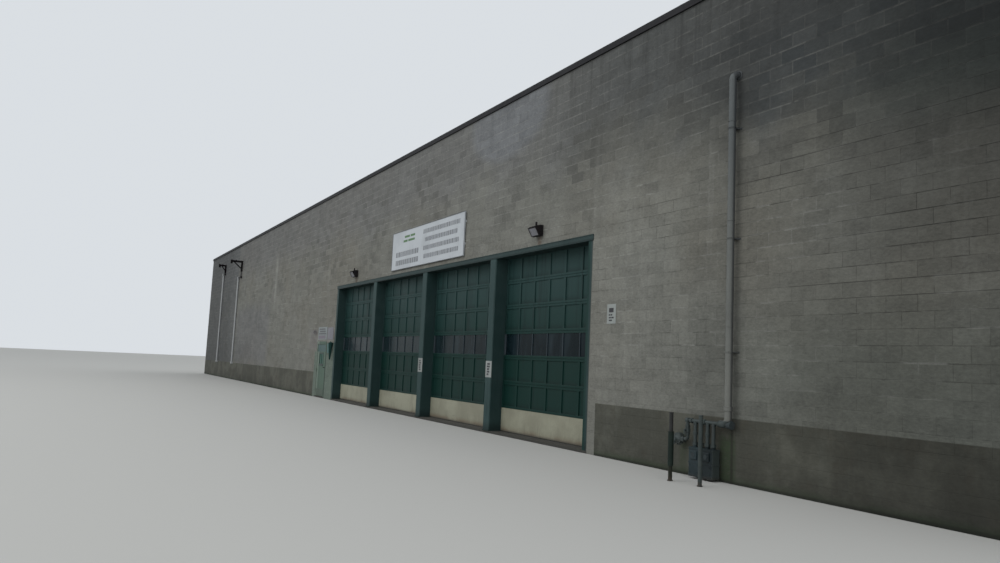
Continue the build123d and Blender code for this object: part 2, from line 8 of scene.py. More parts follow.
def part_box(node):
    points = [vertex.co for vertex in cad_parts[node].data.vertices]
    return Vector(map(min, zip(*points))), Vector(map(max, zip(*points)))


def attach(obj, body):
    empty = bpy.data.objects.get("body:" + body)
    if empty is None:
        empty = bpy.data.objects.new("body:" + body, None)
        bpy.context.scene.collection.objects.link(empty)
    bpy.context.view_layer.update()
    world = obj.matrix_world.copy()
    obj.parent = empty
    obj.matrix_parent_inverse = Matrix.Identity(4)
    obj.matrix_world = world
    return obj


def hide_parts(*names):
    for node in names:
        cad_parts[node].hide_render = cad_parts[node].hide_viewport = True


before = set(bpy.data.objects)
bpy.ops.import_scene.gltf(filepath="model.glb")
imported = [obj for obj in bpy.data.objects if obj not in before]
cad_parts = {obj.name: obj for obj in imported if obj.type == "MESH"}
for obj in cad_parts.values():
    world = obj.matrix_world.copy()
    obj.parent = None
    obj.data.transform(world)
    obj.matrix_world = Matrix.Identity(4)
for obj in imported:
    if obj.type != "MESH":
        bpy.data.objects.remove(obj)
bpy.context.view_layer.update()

# Looks of the half-size block warehouse, in metres, in the frame of its solids.
print("frame loaded,", len(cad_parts), "nodes")

# Lines of the building, read from its solids
leftWallBox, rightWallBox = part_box("front_wall_left"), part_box("front_wall_right")
overBaysBox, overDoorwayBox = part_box("front_wall_over_bays"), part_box("front_wall_over_doorway")
leftX, rightX = leftWallBox[0].x, rightWallBox[1].x
frontY, innerY = leftWallBox[0].y, leftWallBox[1].y
rearInnerY, rearY = (corner.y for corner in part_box("rear_wall"))
wallTop = leftWallBox[1].z
baysLeft, baysRight, baysTop = overBaysBox[0].x, overBaysBox[1].x, overBaysBox[0].z
doorwayLeft, doorwayRight = overDoorwayBox[0].x, overDoorwayBox[1].x
doorwayTop = overDoorwayBox[0].z


# Shader maths: a socket that takes part in sums
def sumOf(operation):
    return lambda self, other=0.0: self.maths(operation, other)


class Wire:
    def __init__(self, finish, socket):
        self.finish = finish
        self.socket = socket

    def maths(self, operation, other=0.0, clamp=False):
        settings = {"operation": operation, "use_clamp": clamp}
        return self.finish.node("ShaderNodeMath", settings, {0: self, 1: other})

    def __rsub__(self, other):
        return self.finish.node("ShaderNodeMath", {"operation": "SUBTRACT"}, {0: other, 1: self})

    __add__ = __radd__ = sumOf("ADD")
    __mul__ = __rmul__ = sumOf("MULTIPLY")
    __sub__, __truediv__, most = sumOf("SUBTRACT"), sumOf("DIVIDE"), sumOf("MAXIMUM")
    floor, fract = sumOf("FLOOR"), sumOf("FRACT")

    def fromMiddle(self):                # 0 in the middle of each whole step, 0.5 at its ends
        return (self.fract() - 0.5).maths("ABSOLUTE")

    def squared(self):
        return self.maths("POWER", 2.0)

    def clamped(self):
        return self.maths("ADD", 0.0, clamp=True)

    def step(self, start, end):          # 0 at start, 1 at end, smooth between
        settings = {"interpolation_type": "SMOOTHSTEP"}
        rising = end > start
        low, high = (start, end) if rising else (end, start)
        inputs = {0: self, 1: low, 2: high, 3: 0.0 if rising else 1.0, 4: 1.0 if rising else 0.0}
        return self.finish.node("ShaderNodeMapRange", settings, inputs)

    def within(self, low, high, soft):   # 1 between low and high, fading over soft
        return self.step(low - soft, low + soft) * self.step(high + soft, high - soft)


# One procedural material: its shader, and a method that adds any node
class Finish:
    def __init__(self, name, roughness=0.8, shine=0.5, metallic=0.0):
        self.material = bpy.data.materials.new(name)
        self.material.use_nodes = True
        self.tree = self.material.node_tree
        self.shader = self.tree.nodes["Principled BSDF"]
        constants = {"Roughness": roughness, "Specular IOR Level": shine, "Metallic": metallic}
        for socket, value in constants.items():
            self.shader.inputs[socket].default_value = value
        self.place = self.output(self.tree.nodes.new("ShaderNodeTexCoord"), "Object")
        parts = self.tree.nodes.new("ShaderNodeSeparateXYZ")
        self.join(self.place, parts.inputs[0])
        self.x, self.y, self.z = (self.output(parts, i) for i in range(3))

    def output(self, node, key=0):
        return Wire(self, node.outputs[key])

    def join(self, value, socket):
        if isinstance(value, Wire):
            self.tree.links.new(value.socket, socket)
        elif isinstance(value, tuple) and len(value) == 3 and socket.type == "RGBA":
            socket.default_value = (*value, 1.0)
        else:
            socket.default_value = value

    def node(self, kind, settings=None, inputs=None, key=0):
        made = self.tree.nodes.new(kind)
        for name, value in (settings or {}).items():
            setattr(made, name, value)
        for name, value in (inputs or {}).items():
            self.join(value, made.inputs[name])
        return self.output(made, key)

    def merge(self, x, y, z):
        return self.node("ShaderNodeCombineXYZ", None, {0: x, 1: y, 2: z})

    def vector(self, operation, *sizes):
        return self.node("ShaderNodeVectorMath", {"operation": operation}, {0: self.place, 1: sizes})

    def noise(self, scale, detail=3.0, roughness=0.6, shift=None):
        vector = self.vector("ADD", *shift) if shift else self.place
        inputs = {"Vector": vector, "Scale": scale, "Detail": detail, "Roughness": roughness}
        return self.node("ShaderNodeTexNoise", None, inputs)

    def streaks(self, level, upright, detail=3.0, roughness=0.6):   # noise drawn out
        vector = self.vector("MULTIPLY", level, level, upright)
        inputs = {"Vector": vector, "Scale": 1.0, "Detail": detail, "Roughness": roughness}
        return self.node("ShaderNodeTexNoise", None, inputs)

    def chance(self, x, y, z):           # a random number for each whole-numbered place
        inputs = {"Vector": self.merge(x, y, z)}
        return self.node("ShaderNodeTexWhiteNoise", {"noise_dimensions": "3D"}, inputs)

    def patch(self, level, upright):     # 1 in a rectangle of the front: two of low, high, soft
        return self.x.within(*level) * self.z.within(*upright)

    def slope(self, level, upright):     # rising along and up the front: two of start, end
        return self.x.step(*level) * self.z.step(*upright)

    def mix(self, mask, a, b):           # colours
        return self.node("ShaderNodeMix", {"data_type": "RGBA"}, {0: mask, 6: a, 7: b}, 2)

    def shade(self, colour, amount):     # colour times a number
        grey = self.merge(amount, amount, amount)
        settings = {"data_type": "RGBA", "blend_type": "MULTIPLY"}
        return self.node("ShaderNodeMix", settings, {0: 1.0, 6: colour, 7: grey}, 2)

    def bump(self, height, distance):
        inputs = {"Height": height, "Distance": distance, "Strength": 1.0}
        return self.node("ShaderNodeBump", None, inputs)

    def done(self, colour, roughness=None, normal=None):
        given = {"Base Color": colour, "Roughness": roughness, "Normal": normal}
        for socket, value in given.items():
            if value is not None:
                self.join(value, self.shader.inputs[socket])
        return self.material

    def coated(self, colour, fine, spread, roughness, depth):       # fine grain in tone and relief
        toned = self.shade(colour, 1.0 - spread / 2 + fine * spread)
        return self.done(toned, roughness, self.bump(fine, depth))


# Camera at the photograph's place and angle
cameraLook = {
    "place": (14.971, -10.476, 0.802),
    "forward": (-0.8681, 0.4852, 0.1046),
    "up": (0.0687, -0.0911, 0.9935),
    "lens": 28.0,
    "sensor": 36.0,
    "near": 0.05,
    "far": 300.0,
}


def makeCamera(look):
    data = bpy.data.cameras.new("camera")
    data.lens, data.sensor_width = look["lens"], look["sensor"]
    data.clip_start, data.clip_end = look["near"], look["far"]
    camera = bpy.data.objects.new("camera", data)
    bpy.context.scene.collection.objects.link(camera)
    backward = -Vector(look["forward"]).normalized()
    right = Vector(look["up"]).cross(backward).normalized()
    turn = Matrix((right, backward.cross(right), backward)).transposed().to_4x4()
    camera.matrix_world = Matrix.Translation(look["place"]) @ turn
    bpy.context.scene.camera = camera


# Soft light from the sky and three large lamps, and a plain pale floor
lightLook = {
    "skyStrength": 0.82,
    "skyColour": (0.93, 0.97, 1.0),
    "backdrop": (0.70, 0.735, 0.77),
    "floor": (0.455, 0.450, 0.430),
    "floorReach": 90.0,
    "floorDrop": 0.001,
    "lamps": (
        # place, target, size, power
        ((4.0, -24.0, 15.0), (2.0, -6.0, 1.5), 16.0, 1500.0),
        ((24.0, -14.0, 12.0), (8.0, -4.0, 2.0), 12.0, 500.0),
        ((-8.0, 20.0, 14.0), (0.0, 0.0, 2.0), 16.0, 1100.0),
    ),
}


def makeLight(look):
    world = bpy.data.worlds.new("sky")
    bpy.context.scene.world = world
    world.use_nodes = True
    nodes, links = world.node_tree.nodes, world.node_tree.links
    background = nodes["Background"]
    background.inputs["Color"].default_value = (*look["skyColour"], 1.0)
    background.inputs["Strength"].default_value = look["skyStrength"]
    shown = nodes.new("ShaderNodeBackground")
    shown.inputs["Color"].default_value = (*look["backdrop"], 1.0)
    path = nodes.new("ShaderNodeLightPath")
    seen = nodes.new("ShaderNodeMath")
    seen.operation = "MAXIMUM"
    links.new(path.outputs["Is Camera Ray"], seen.inputs[0])
    links.new(path.outputs["Is Transmission Ray"], seen.inputs[1])
    pick = nodes.new("ShaderNodeMixShader")
    for number, node in enumerate((seen, background, shown)):
        links.new(node.outputs[0], pick.inputs[number])
    links.new(pick.outputs[0], nodes["World Output"].inputs[0])
    for number, (place, target, size, power) in enumerate(look["lamps"]):
        data = bpy.data.lights.new(f"lamp{number}", "AREA")
        data.size, data.energy = size, power
        lamp = bpy.data.objects.new(f"lamp{number}", data)
        bpy.context.scene.collection.objects.link(lamp)
        lamp.location = place
        lamp.rotation_euler = (Vector(target) - Vector(place)).to_track_quat("-Z", "Y").to_euler()


def makeFloor(look):
    work = bmesh.new()
    bmesh.ops.create_grid(work, x_segments=1, y_segments=1, size=look["floorReach"])
    bmesh.ops.translate(work, verts=work.verts, vec=(0, 0, -look["floorDrop"]))
    mesh = bpy.data.meshes.new("floorPlane")
    work.to_mesh(mesh)
    work.free()
    floorPlane = bpy.data.objects.new("floorPlane", mesh)
    bpy.context.scene.collection.objects.link(floorPlane)
    mesh.materials.append(Finish("paleFloor", 0.9).done(look["floor"]))


makeCamera(cameraLook)
makeLight(lightLook)
makeFloor(lightLook)
bpy.context.scene.view_settings.view_transform = "Standard"
print("camera, light and floor made")


# A finished bmesh becomes a piece that rides on a body
def addPiece(work, name, material, body="building", replaces=(), spun=False):
    if spun:
        bmesh.ops.recalc_face_normals(work, faces=work.faces[:])
    mesh = bpy.data.meshes.new(name)
    work.to_mesh(mesh)
    work.free()
    piece = bpy.data.objects.new(name, mesh)
    bpy.context.scene.collection.objects.link(piece)
    mesh.materials.append(material)
    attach(piece, body)
    if replaces:
        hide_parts(*replaces)


def paint(material, *nodes):
    for name in nodes:
        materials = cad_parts[name].data.materials
        materials.clear()
        materials.append(material)


def bevelEdges(work, edges, offset, segments=1):
    bmesh.ops.bevel(
        work, geom=edges, offset=offset, affect="EDGES", segments=segments, profile=0.5, material=-1
    )


def addBox(work, low, high, edge=0.0):
    made = bmesh.ops.create_cube(work, size=1.0)["verts"]
    low, high = Vector(low), Vector(high)
    bmesh.ops.scale(work, vec=high - low, verts=made)
    bmesh.ops.translate(work, vec=(low + high) / 2, verts=made)
    if edge:
        bevelEdges(work, list({e for v in made for e in v.link_edges}), edge)
    return made


def addPlate(work, left, right, bottom, top, face, out, edge=0.0):
    # a box that stands out from a face, toward the street
    addBox(work, (left, face - out, bottom), (right, face, top), edge)


def addRod(work, start, end, radius, segments=12, endRadius=None):
    start, end = Vector(start), Vector(end)
    turn = (end - start).to_track_quat("Z", "Y").to_matrix().to_4x4()
    bmesh.ops.create_cone(
        work, cap_ends=True, segments=segments, radius1=radius,
        radius2=radius if endRadius is None else endRadius, depth=(end - start).length,
        matrix=Matrix.Translation((start + end) / 2) @ turn,
    )


def addHead(work, x, face, z, out, radius, segments=6, endRadius=None):
    # a bolt head or a cap that stands out from a face, toward the street
    addRod(work, (x, face, z), (x, face - out, z), radius, segments, endRadius)


def addUpright(work, x, y, bottom, top, radius, segments=12, endRadius=None):
    addRod(work, (x, y, bottom), (x, y, top), radius, segments, endRadius)


def addLevel(work, start, end, y, z, radius, segments=12):
    addRod(work, (start, y, z), (end, y, z), radius, segments)


def addRing(work, centre, axis, radius, tube, segments=24):
    # a ring made by spinning a small circle about the axis through centre
    centre, axis = Vector(centre), Vector(axis)
    side = axis.orthogonal().normalized()
    turn = Matrix((side, axis, side.cross(axis))).transposed().to_4x4()
    place = Matrix.Translation(centre + side * radius) @ turn
    circle = bmesh.ops.create_circle(work, segments=8, radius=tube, matrix=place)["verts"]
    edges = list({e for v in circle for e in v.link_edges})
    bmesh.ops.spin(
        work, geom=edges, cent=centre, axis=axis, angle=math.tau, steps=segments, use_merge=True
    )


def addHoop(work, x, y, z, radius, tube, segments=24):      # a ring round an upright
    addRing(work, (x, y, z), (0, 0, 1), radius, tube, segments)


# Block work: running bond with raised faces, as geometry and as colour
blockLook = {
    "length": 0.2032,
    "course": 0.1016,
    "joint": 0.0044,
    "proud": 0.0014,
    "unevenness": 0.0005,
    "baseTop": 0.475,
    "seed": 41,
}


def addCourse(work, start, end, row, oddShift):
    # one course between two places along the wall, cut where a block line falls
    length, height = blockLook["length"], blockLook["course"]
    shift = length / 2 if (row + oddShift) % 2 else 0.0
    first = math.floor((start - shift) / length + 1e-6)
    last = math.ceil((end - shift) / length - 1e-6)
    count = last - first
    grid = bmesh.ops.create_grid(work, x_segments=count, y_segments=1, size=0.5)["verts"]
    bmesh.ops.scale(work, vec=(count * length, height, 1), verts=grid)
    middle = (first + count / 2) * length + shift
    bmesh.ops.translate(work, vec=(middle, (row + 0.5) * height, 0), verts=grid)


def cutFaces(work, faces, place, normal, clearOuter=False):
    edges = {e for f in faces for e in f.edges}
    verts = {v for f in faces for v in f.verts}
    bmesh.ops.bisect_plane(
        work, geom=[*verts, *edges, *faces], dist=1e-6,
        plane_co=place, plane_no=normal, clear_outer=clearOuter,
    )


def facesUpTo(work, height):
    return [f for f in work.faces if f.calc_center_median().y <= height]


def openWall(work, low, high, top, margin=1e-4):
    def between(faces):
        return [f for f in faces if low < f.calc_center_median().x < high]

    for side in (low, high):
        cutFaces(work, facesUpTo(work, top + margin), (side, 0, 0), (1, 0, 0))
    cutFaces(work, between(facesUpTo(work, top + margin)), (0, top, 0), (0, 1, 0))
    inside = between(facesUpTo(work, top - margin))
    bmesh.ops.delete(work, geom=inside, context="FACES")


def makeBlocks(name, start, end, along, outward, place, oddShift, material, openings=()):
    look = blockLook
    draw = random.Random(look["seed"] + oddShift)
    work = bmesh.new()
    for row in range(round(wallTop / look["course"])):
        addCourse(work, start, end, row, oddShift)
    cutFaces(work, work.faces[:], (start, 0, 0), (-1, 0, 0), True)
    cutFaces(work, work.faces[:], (end, 0, 0), (1, 0, 0), True)
    for low, high, top in openings:
        openWall(work, low, high, top)
    # the painted base keeps its joints filled
    plain = facesUpTo(work, look["baseTop"] - look["course"])
    isPlain = set(plain)
    laid = [f for f in work.faces if f not in isPlain]
    raised = {"thickness": look["joint"] / 2, "depth": look["proud"], "use_even_offset": True}
    bmesh.ops.inset_individual(work, faces=laid, **raised)
    bmesh.ops.inset_region(work, faces=plain, use_boundary=True, **raised)
    for face in laid:
        lift = draw.uniform(-1, 1) * look["unevenness"]
        for corner in face.verts:
            corner.co.z += lift
    # from a flat layout to the face of the wall
    stand = Matrix.Translation(place) @ Matrix((along, (0, 0, 1), outward)).transposed().to_4x4()
    bmesh.ops.transform(work, matrix=stand, verts=work.verts[:])
    addPiece(work, name, material)


# Weathered paint on block work
wallLook = {
    "paint": (0.152, 0.152, 0.135),
    "warm": (0.142, 0.133, 0.110),
    "pale": (0.215, 0.215, 0.196),
    "dark": (0.080, 0.080, 0.073),
    "upper": (0.076, 0.084, 0.092),
    "upperFar": (0.114, 0.115, 0.119),
    "bloom": (0.165, 0.175, 0.190),
    "slate": (0.056, 0.064, 0.067),
    "corner": (0.100, 0.130, 0.122),
    "mossy": (0.112, 0.122, 0.106),
    "basePaint": (0.068, 0.068, 0.055),
    "baseWorn": (0.098, 0.098, 0.080),
    "algae": (0.036, 0.056, 0.028),
    "baseBrown": (0.066, 0.060, 0.045),
    "rust": (0.085, 0.052, 0.034),
    "cool": (0.086, 0.090, 0.094),
    "palePaint": (0.106, 0.138, 0.114),
    "gap": (0.040, 0.056, 0.046),
    "lilac": (0.160, 0.148, 0.158),
    "lilacLow": (0.125, 0.127, 0.138),
    "jointDark": (0.040, 0.039, 0.034),
    "jointPale": (0.275, 0.275, 0.255),
    "dripStain": (0.030, 0.030, 0.023),
    "footLine": (0.022, 0.023, 0.018),
    "inside": (0.27, 0.265, 0.245),
    "blockTone": 0.17,
    "mottleTone": 0.34,
    "blotchTone": 0.40,
    "washTone": 0.42,
    "grainTone": 0.95,
    "pitTone": 0.25,
    # places along the street front
    "controlJoints": ((8.96, 0.03, 0.30), (4.94, 0.03, 0.30), (0.40, 0.05, 0.30), (-3.87, 0.11, 0.85)),
    "farJoint": -8.56,
    "rustUnder": (7.9658, 2.0408),
    "drip": (10.738, 10.762),
    "meterAlgae": ((10.63, 10.78, 0.85), (10.20, 10.28, 0.5)),
    "bloomMiddle": (7.15, 3.72),
    "bloomHalf": (0.95, 0.55),
    "stripLeft": 0.134,
    "stripRight": 0.115,
    "stripTop": 0.870,
    "pierTop": 1.040,
    # paler and darker patches: along and up as low, high, soft, then the change of tone
    "patches": (
        ((11.1, 12.0, 0.3), (2.75, 3.25, 0.2), 0.26),
        ((10.3, 10.6, 0.15), (0.5, 2.5, 0.2), -0.10),
        ((10.85, 11.25, 0.1), (0.5, 1.1, 0.2), 0.14),
        ((9.05, 9.75, 0.3), (1.2, 2.6, 0.3), 0.07),
    ),
    # tone that changes along and up: two of start and end, then the change
    "slopes": (
        # darker up toward the right: partly stain, partly painted shade
        ((6.5, 11.5), (2.1, 3.1), -0.44),
        ((9.2, 11.0), (1.5, 0.6), -0.07),
        ((-5.5, -7.5), (1.6, 0.6), -0.10),
    ),
}


def blockPattern(f, along, oddShift):
    length, course = blockLook["length"], blockLook["course"]
    row = (f.z / course).floor()
    across = along / length - ((row + oddShift) * 0.5).fract()
    fromSide = (0.5 - across.fromMiddle()) * length
    fromBed = (0.5 - (f.z / course).fromMiddle()) * course
    bed = fromBed.step(0.0042, 0.0022)
    joint = bed.most(fromSide.step(0.0042, 0.0022) * 0.6)
    smear = fromBed.step(0.0085, 0.0030).most(fromSide.step(0.0065, 0.0025) * 0.5)
    return row, across.floor(), bed, joint, smear


def makeInnerWallFinish(name, sideways, oddShift=0):
    look = wallLook
    f = Finish(name, 0.92, 0.3)
    row, column, _, joint, _ = blockPattern(f, f.y if sideways else f.x, oddShift)
    grain = f.streaks(34.0, 75.0, 4.0, 0.78)
    uneven = (f.noise(0.42, 4.0) - 0.5) * 0.25 + (grain - 0.5) * 0.10
    tone = 0.90 + f.chance(column, row, 3.0) * 0.14 + uneven
    colour = f.mix(joint, f.shade(look["inside"], tone), f.shade(look["inside"], 0.74))
    height = (1.0 - joint) * 1.0 + grain * 0.25 + f.noise(260.0, 2.0) * 0.1
    return f.done(colour, None, f.bump(height, 0.0024))


def makeWallFinish(name, sideways, oddShift=0, street=False):
    look = wallLook
    f = Finish(name, 0.92, 0.3)
    row, column, bed, joint, smear = blockPattern(f, f.y if sideways else f.x, oddShift)
    one, two = f.chance(column, row, 3.0), f.chance(column, row, 11.0)
    drift = f.noise(1.7, 4.0, 0.6, (7.0, 3.0, 5.0))
    mottle = f.noise(6.0, 5.0, 0.72, (1.0, 6.0, 2.0))
    blotch = f.noise(17.0, 4.0, 0.70, (3.0, 2.0, 9.0))
    streaks = f.streaks(7.0, 0.45, 4.0, 0.62)
    washes = f.streaks(1.6, 12.0, 4.0, 0.65)
    grain = f.streaks(34.0, 75.0, 4.0, 0.78)
    pitted = f.noise(260.0, 2.0)
    edge = (drift - 0.5) * 1.1
    colour = f.mix(f.noise(0.42, 4.0).step(0.38, 0.66) * 0.6, look["paint"], look["warm"])
    colour = f.mix(drift.step(0.52, 0.72) * 0.30, colour, look["pale"])
    colour = f.mix(streaks.step(0.55, 0.78) * 0.40, colour, look["pale"])
    upper = f.mix(f.x.step(7.6, 9.6), look["upperFar"], look["upper"]) if street else look["upper"]
    colour = f.mix((f.z + edge).step(2.5, 3.35) * 0.55, colour, upper)
    # blocks of another tone, mostly in drifts between the lintel and the parapet
    cluster = f.noise(0.75, 3.0, 0.6, (2.0, 9.0, 1.0)).step(0.47, 0.60)
    darker = two.step(0.50, 0.54) * cluster * (f.z.within(2.25, 3.45, 0.25) * 0.40 + 0.04)
    if street:                           # and round the joint over the right end of the bays
        besideJoint = f.patch((8.40, 9.10, 0.15), (2.50, 3.30, 0.2))
        darker = darker.most(besideJoint * one.step(0.56, 0.60) * 0.75)
    colour = f.mix(darker, colour, look["dark"])
    weather = (mottle - 0.5) * look["mottleTone"] + (washes - 0.5) * look["washTone"]
    weather = weather + (blotch - 0.5) * look["blotchTone"]
    texture = (grain - 0.5) * look["grainTone"] + (pitted - 0.5) * look["pitTone"]
    tone = 1.0 + (one - 0.5) * look["blockTone"] + weather + texture
    drips = f.streaks(11.0, 0.35).step(0.48, 0.70)
    underCoping = f.z.step(wallTop - 0.95, wallTop - 0.02)
    nearer = f.x.step(7.0, 9.5) * 0.6 + 0.4 if street else 1.0
    tone = tone * (1.0 - drips * underCoping * nearer * 0.28) * (1.0 - underCoping * nearer * 0.10)
    base = f.z.step(blockLook["baseTop"] + 0.004, blockLook["baseTop"] - 0.004)
    baseTone = (1.0 + weather * 0.6 + texture * 0.7) * (1.0 - f.z.step(0.22, 0.02) * 0.14)
    if street:
        # darker and greener toward the right end and the corner: partly stain, partly painted shade
        farSide = f.x.step(9.6, 12.2)
        lastPart = f.slope((11.2, 12.8), (0.9, 2.7)) * (1.0 - f.z.step(2.75, 3.2) * 0.4)
        colour = f.mix(lastPart * f.z.step(2.2, 2.7) * 0.7, colour, look["corner"])
        tone = tone * (1.04 - farSide * 0.34) * (1.0 - lastPart * 0.66)
        tone = tone * (1.0 - f.x.step(-8.9, -9.8) * 0.17)
        for level, upright, change in look["patches"]:
            tone = tone * (1.0 + f.patch(level, upright) * change)
        for level, upright, change in look["slopes"]:
            tone = tone * (1.0 + f.slope(level, upright) * change)
        colour = f.mix(f.z.step(1.6, 0.8) * farSide * 0.6, colour, look["mossy"])
        slate = f.x.step(9.9, 11.2) * (f.z + edge * 0.5).within(2.75, 3.45, 0.25)
        colour = f.mix(slate * (two * 0.5 + 0.35), colour, look["slate"])
        (bloomX, bloomZ), (halfX, halfZ) = look["bloomMiddle"], look["bloomHalf"]
        acrossBloom = ((f.x - bloomX) / halfX).squared() + ((f.z - bloomZ) / halfZ).squared()
        colour = f.mix(acrossBloom.step(1.15, 0.65) * 0.55, colour, look["bloom"])
        # the base darker toward the right end: partly stain, partly painted shade
        baseTone = baseTone * (0.99 - f.x.step(8.8, 9.4) * 0.12 - f.x.step(11.1, 12.1) * 0.38)
        baseTone = baseTone * (1.0 - f.x.within(-7.5, -3.5, 0.5) * f.z.step(0.3, 0.1) * 0.16)
        # bluish and darker left of the far joint: partly a cooler paint, partly painted shadow of the porch
        cool = f.x.step(look["farJoint"] + 0.1, look["farJoint"] - 0.1)
        colour = f.mix(cool * (mottle * 0.5 + 0.45), colour, look["cool"])
        lowLeft = f.x.within(-8.3, -4.3, 0.3) * (f.z + edge * 0.4).within(0.50, 2.0, 0.25)
        colour = f.mix(lowLeft * 0.45, colour, look["lilacLow"])
        for place, half, share in look["controlJoints"]:
            near = f.patch((place - half, place + half, half), (1.9, 3.1, 0.25))
            near = near * (streaks.step(0.30, 0.55) * 0.5 + 0.5) * (grain * 0.6 + 0.7)
            colour = f.mix(near * share, colour, look["pale"])
        for place in look["rustUnder"]:
            below = f.patch((place - 0.035, place + 0.035, 0.025), (1.95, 2.20, 0.08))
            colour = f.mix(below * 0.55, colour, look["rust"])
        clear = f.x.within(doorwayLeft - look["stripLeft"], baysRight + look["stripRight"], 0.002)
        base = base * (1.0 - clear)
    # joints: pale where the wall is weathered high up, dark elsewhere, and filled in places
    shows = f.noise(1.3, 3.0, 0.6, (4.0, 1.0, 8.0)).step(0.38, 0.62)
    broken = f.noise(7.0, 3.0, 0.6, (5.0, 5.0, 1.0)).step(0.42, 0.56)
    paler = f.noise(2.6, 3.0, 0.6, (8.0, 1.0, 3.0)).step(0.46, 0.54)
    paler = paler.most((f.z + edge).step(2.1, 2.8))
    seam = f.mix(paler, look["jointDark"], look["jointPale"])
    strength = (shows * 0.50 + 0.08).most(paler * 0.38) * (broken * 0.72 + 0.28) * f.z.step(0.45, 1.05)
    colour = f.mix(joint.most(smear * paler * 0.8) * strength, colour, seam)
    if street:                           # long open bed joints right of the pipe
        openBeds = f.streaks(0.5, 3.2).step(0.46, 0.58)
        openBeds = openBeds * f.z.within(1.25, 2.55, 0.25) * f.x.step(10.0, 11.0)
        colour = f.mix(bed * openBeds * (grain * 0.9 + 0.1) * 0.9, colour, look["jointDark"])
    # the painted base
    worn = f.mix(f.noise(2.4, 4.0, 0.65).step(0.42, 0.62), look["basePaint"], look["baseWorn"])
    worn = f.mix(f.noise(3.1, 4.0, 0.65).step(0.52, 0.66) * 0.4, worn, look["baseBrown"])
    worn = f.mix(f.streaks(16.0, 1.1, 4.0, 0.65).step(0.50, 0.64) * 0.10, worn, look["mossy"])
    damp = f.z.step(0.08, 0.0) * (drift.step(0.3, 0.6) * 0.5 + 0.25)
    worn = f.mix(damp, worn, look["algae"])
    if street:
        for start, end, share in look["meterAlgae"]:
            green = f.x.within(start, end, 0.03) * (f.z + (blotch - 0.5) * 0.3).step(0.40, 0.26)
            worn = f.mix(green * (grain.step(0.30, 0.55) * 0.7 + 0.3) * share, worn, look["algae"])
        worn = f.mix(f.x.within(*look["drip"], 0.010) * 0.8, worn, look["dripStain"])
    # a dark line along the foot: partly dirt, partly painted contact shade
    worn = f.mix(f.z.step(0.030, 0.012) * 0.75, worn, look["footLine"])
    if street:                           # paler paint round the personnel door
        low, high = look["stripTop"] + 0.005, look["pierTop"] + 0.005
        strip = f.x.within(doorwayLeft - look["stripLeft"], doorwayLeft, 0.002) * f.z.step(low, low - 0.010)
        pierHeight = f.z.step(high, high - 0.010)
        pierFace = f.x.within(doorwayRight, baysLeft, 0.002) * pierHeight
        colour = f.mix(strip.most(pierFace) * 0.85, colour, look["palePaint"])
        # painted shade of the gap between the personnel door's frame and the pier
        gap = f.x.within(doorwayRight - 0.002, doorwayRight + 0.024, 0.004) * pierHeight
        colour = f.mix(gap * 0.7, colour, look["gap"])
        above = f.patch((doorwayLeft - 0.05, baysLeft - 0.06, 0.02), (1.060, 1.105, 0.01))
        colour = f.mix(above * 0.8, colour, look["pale"])
        beside = f.patch((doorwayLeft - 0.55, doorwayLeft, 0.05), (0.90, 1.30, 0.05))
        colour = f.mix(beside * 0.3, colour, look["lilac"])
    colour = f.mix(base, f.shade(colour, tone), f.shade(worn, baseTone))
    height = grain * 0.5 + pitted * 0.3 + mottle * 0.4
    return f.done(colour, None, f.bump(height, 0.0018))


streetWall = makeWallFinish("streetWall", False, street=True)
backWall = makeWallFinish("backWall", False)
sideWall = makeWallFinish("sideWall", True, 1)
paint(
    makeInnerWallFinish("innerWall", False), "front_wall_left", "front_wall_over_doorway",
    "front_wall_pier", "front_wall_over_bays", "front_wall_right", "rear_wall",
)
paint(makeInnerWallFinish("innerSideWall", True, 1), "left_wall", "right_wall")
doorways = ((doorwayLeft, doorwayRight, doorwayTop), (baysLeft, baysRight, baysTop))
# start and end along the wall, its direction, its outward side and its place
makeBlocks("blocks_front", leftX, rightX, (1, 0, 0), (0, -1, 0), (0, frontY, 0), 0, streetWall, doorways)
makeBlocks("blocks_rear", leftX, rightX, (-1, 0, 0), (0, 1, 0), (0, rearY, 0), 0, backWall)
makeBlocks("blocks_right", -rearY, rearY, (0, 1, 0), (1, 0, 0), (rightX, 0, 0), 1, sideWall)
makeBlocks("blocks_left", -rearY, rearY, (0, -1, 0), (-1, 0, 0), (leftX, 0, 0), 1, sideWall)
print("block work made")


# Plain weathered paint, used for most metal pieces: tones are clean, worn and dirty
def paintFinish(name, tones, roughness=0.5, grain=40.0, wear=0.5, shine=0.3):
    clean, worn, dirt = tones
    f = Finish(name, roughness, shine)
    blotches = f.noise(3.0, 4.0)
    fine = f.noise(grain, 4.0, 0.7)
    mixed = f.mix(blotches.step(0.42, 0.68) * wear, clean, worn)
    mixed = f.mix(f.streaks(28.0, 1.6).step(0.54, 0.74) * 0.45 * wear, mixed, dirt)
    gloss = roughness + (blotches - 0.5) * 0.3 + (fine - 0.5) * 0.15
    mixed = f.shade(mixed, 0.88 + fine * 0.24)
    return f.done(mixed, gloss.clamped(), f.bump(fine * 0.6 + blotches * 0.4, 0.0008))


# Overhead doors: rails, stiles, panels and glazing bars
doorLook = {
    "sections": 6,
    "windowSection": 2,
    "columns": 6,
    "rail": 0.024,
    "stile": 0.036,
    "outerStile": 0.046,
    "bar": 0.012,
    "recess": 0.0095,
    "panelThickness": 0.006,
    "panelInset": 0.004,
    "gap": 0.0035,
    "edge": 0.0012,
    "green": (0.0036, 0.0250, 0.0200),
    "greenWorn": (0.0068, 0.0310, 0.0255),
    "greenFaded": (0.0250, 0.0560, 0.0550),
    "greenDirt": (0.0045, 0.0110, 0.0100),
    "sillHighlight": (0.028, 0.050, 0.046),
    "barGrey": (0.0400, 0.0500, 0.0600),
    "shine": 0.14,
    "stripBehind": 0.006,
}


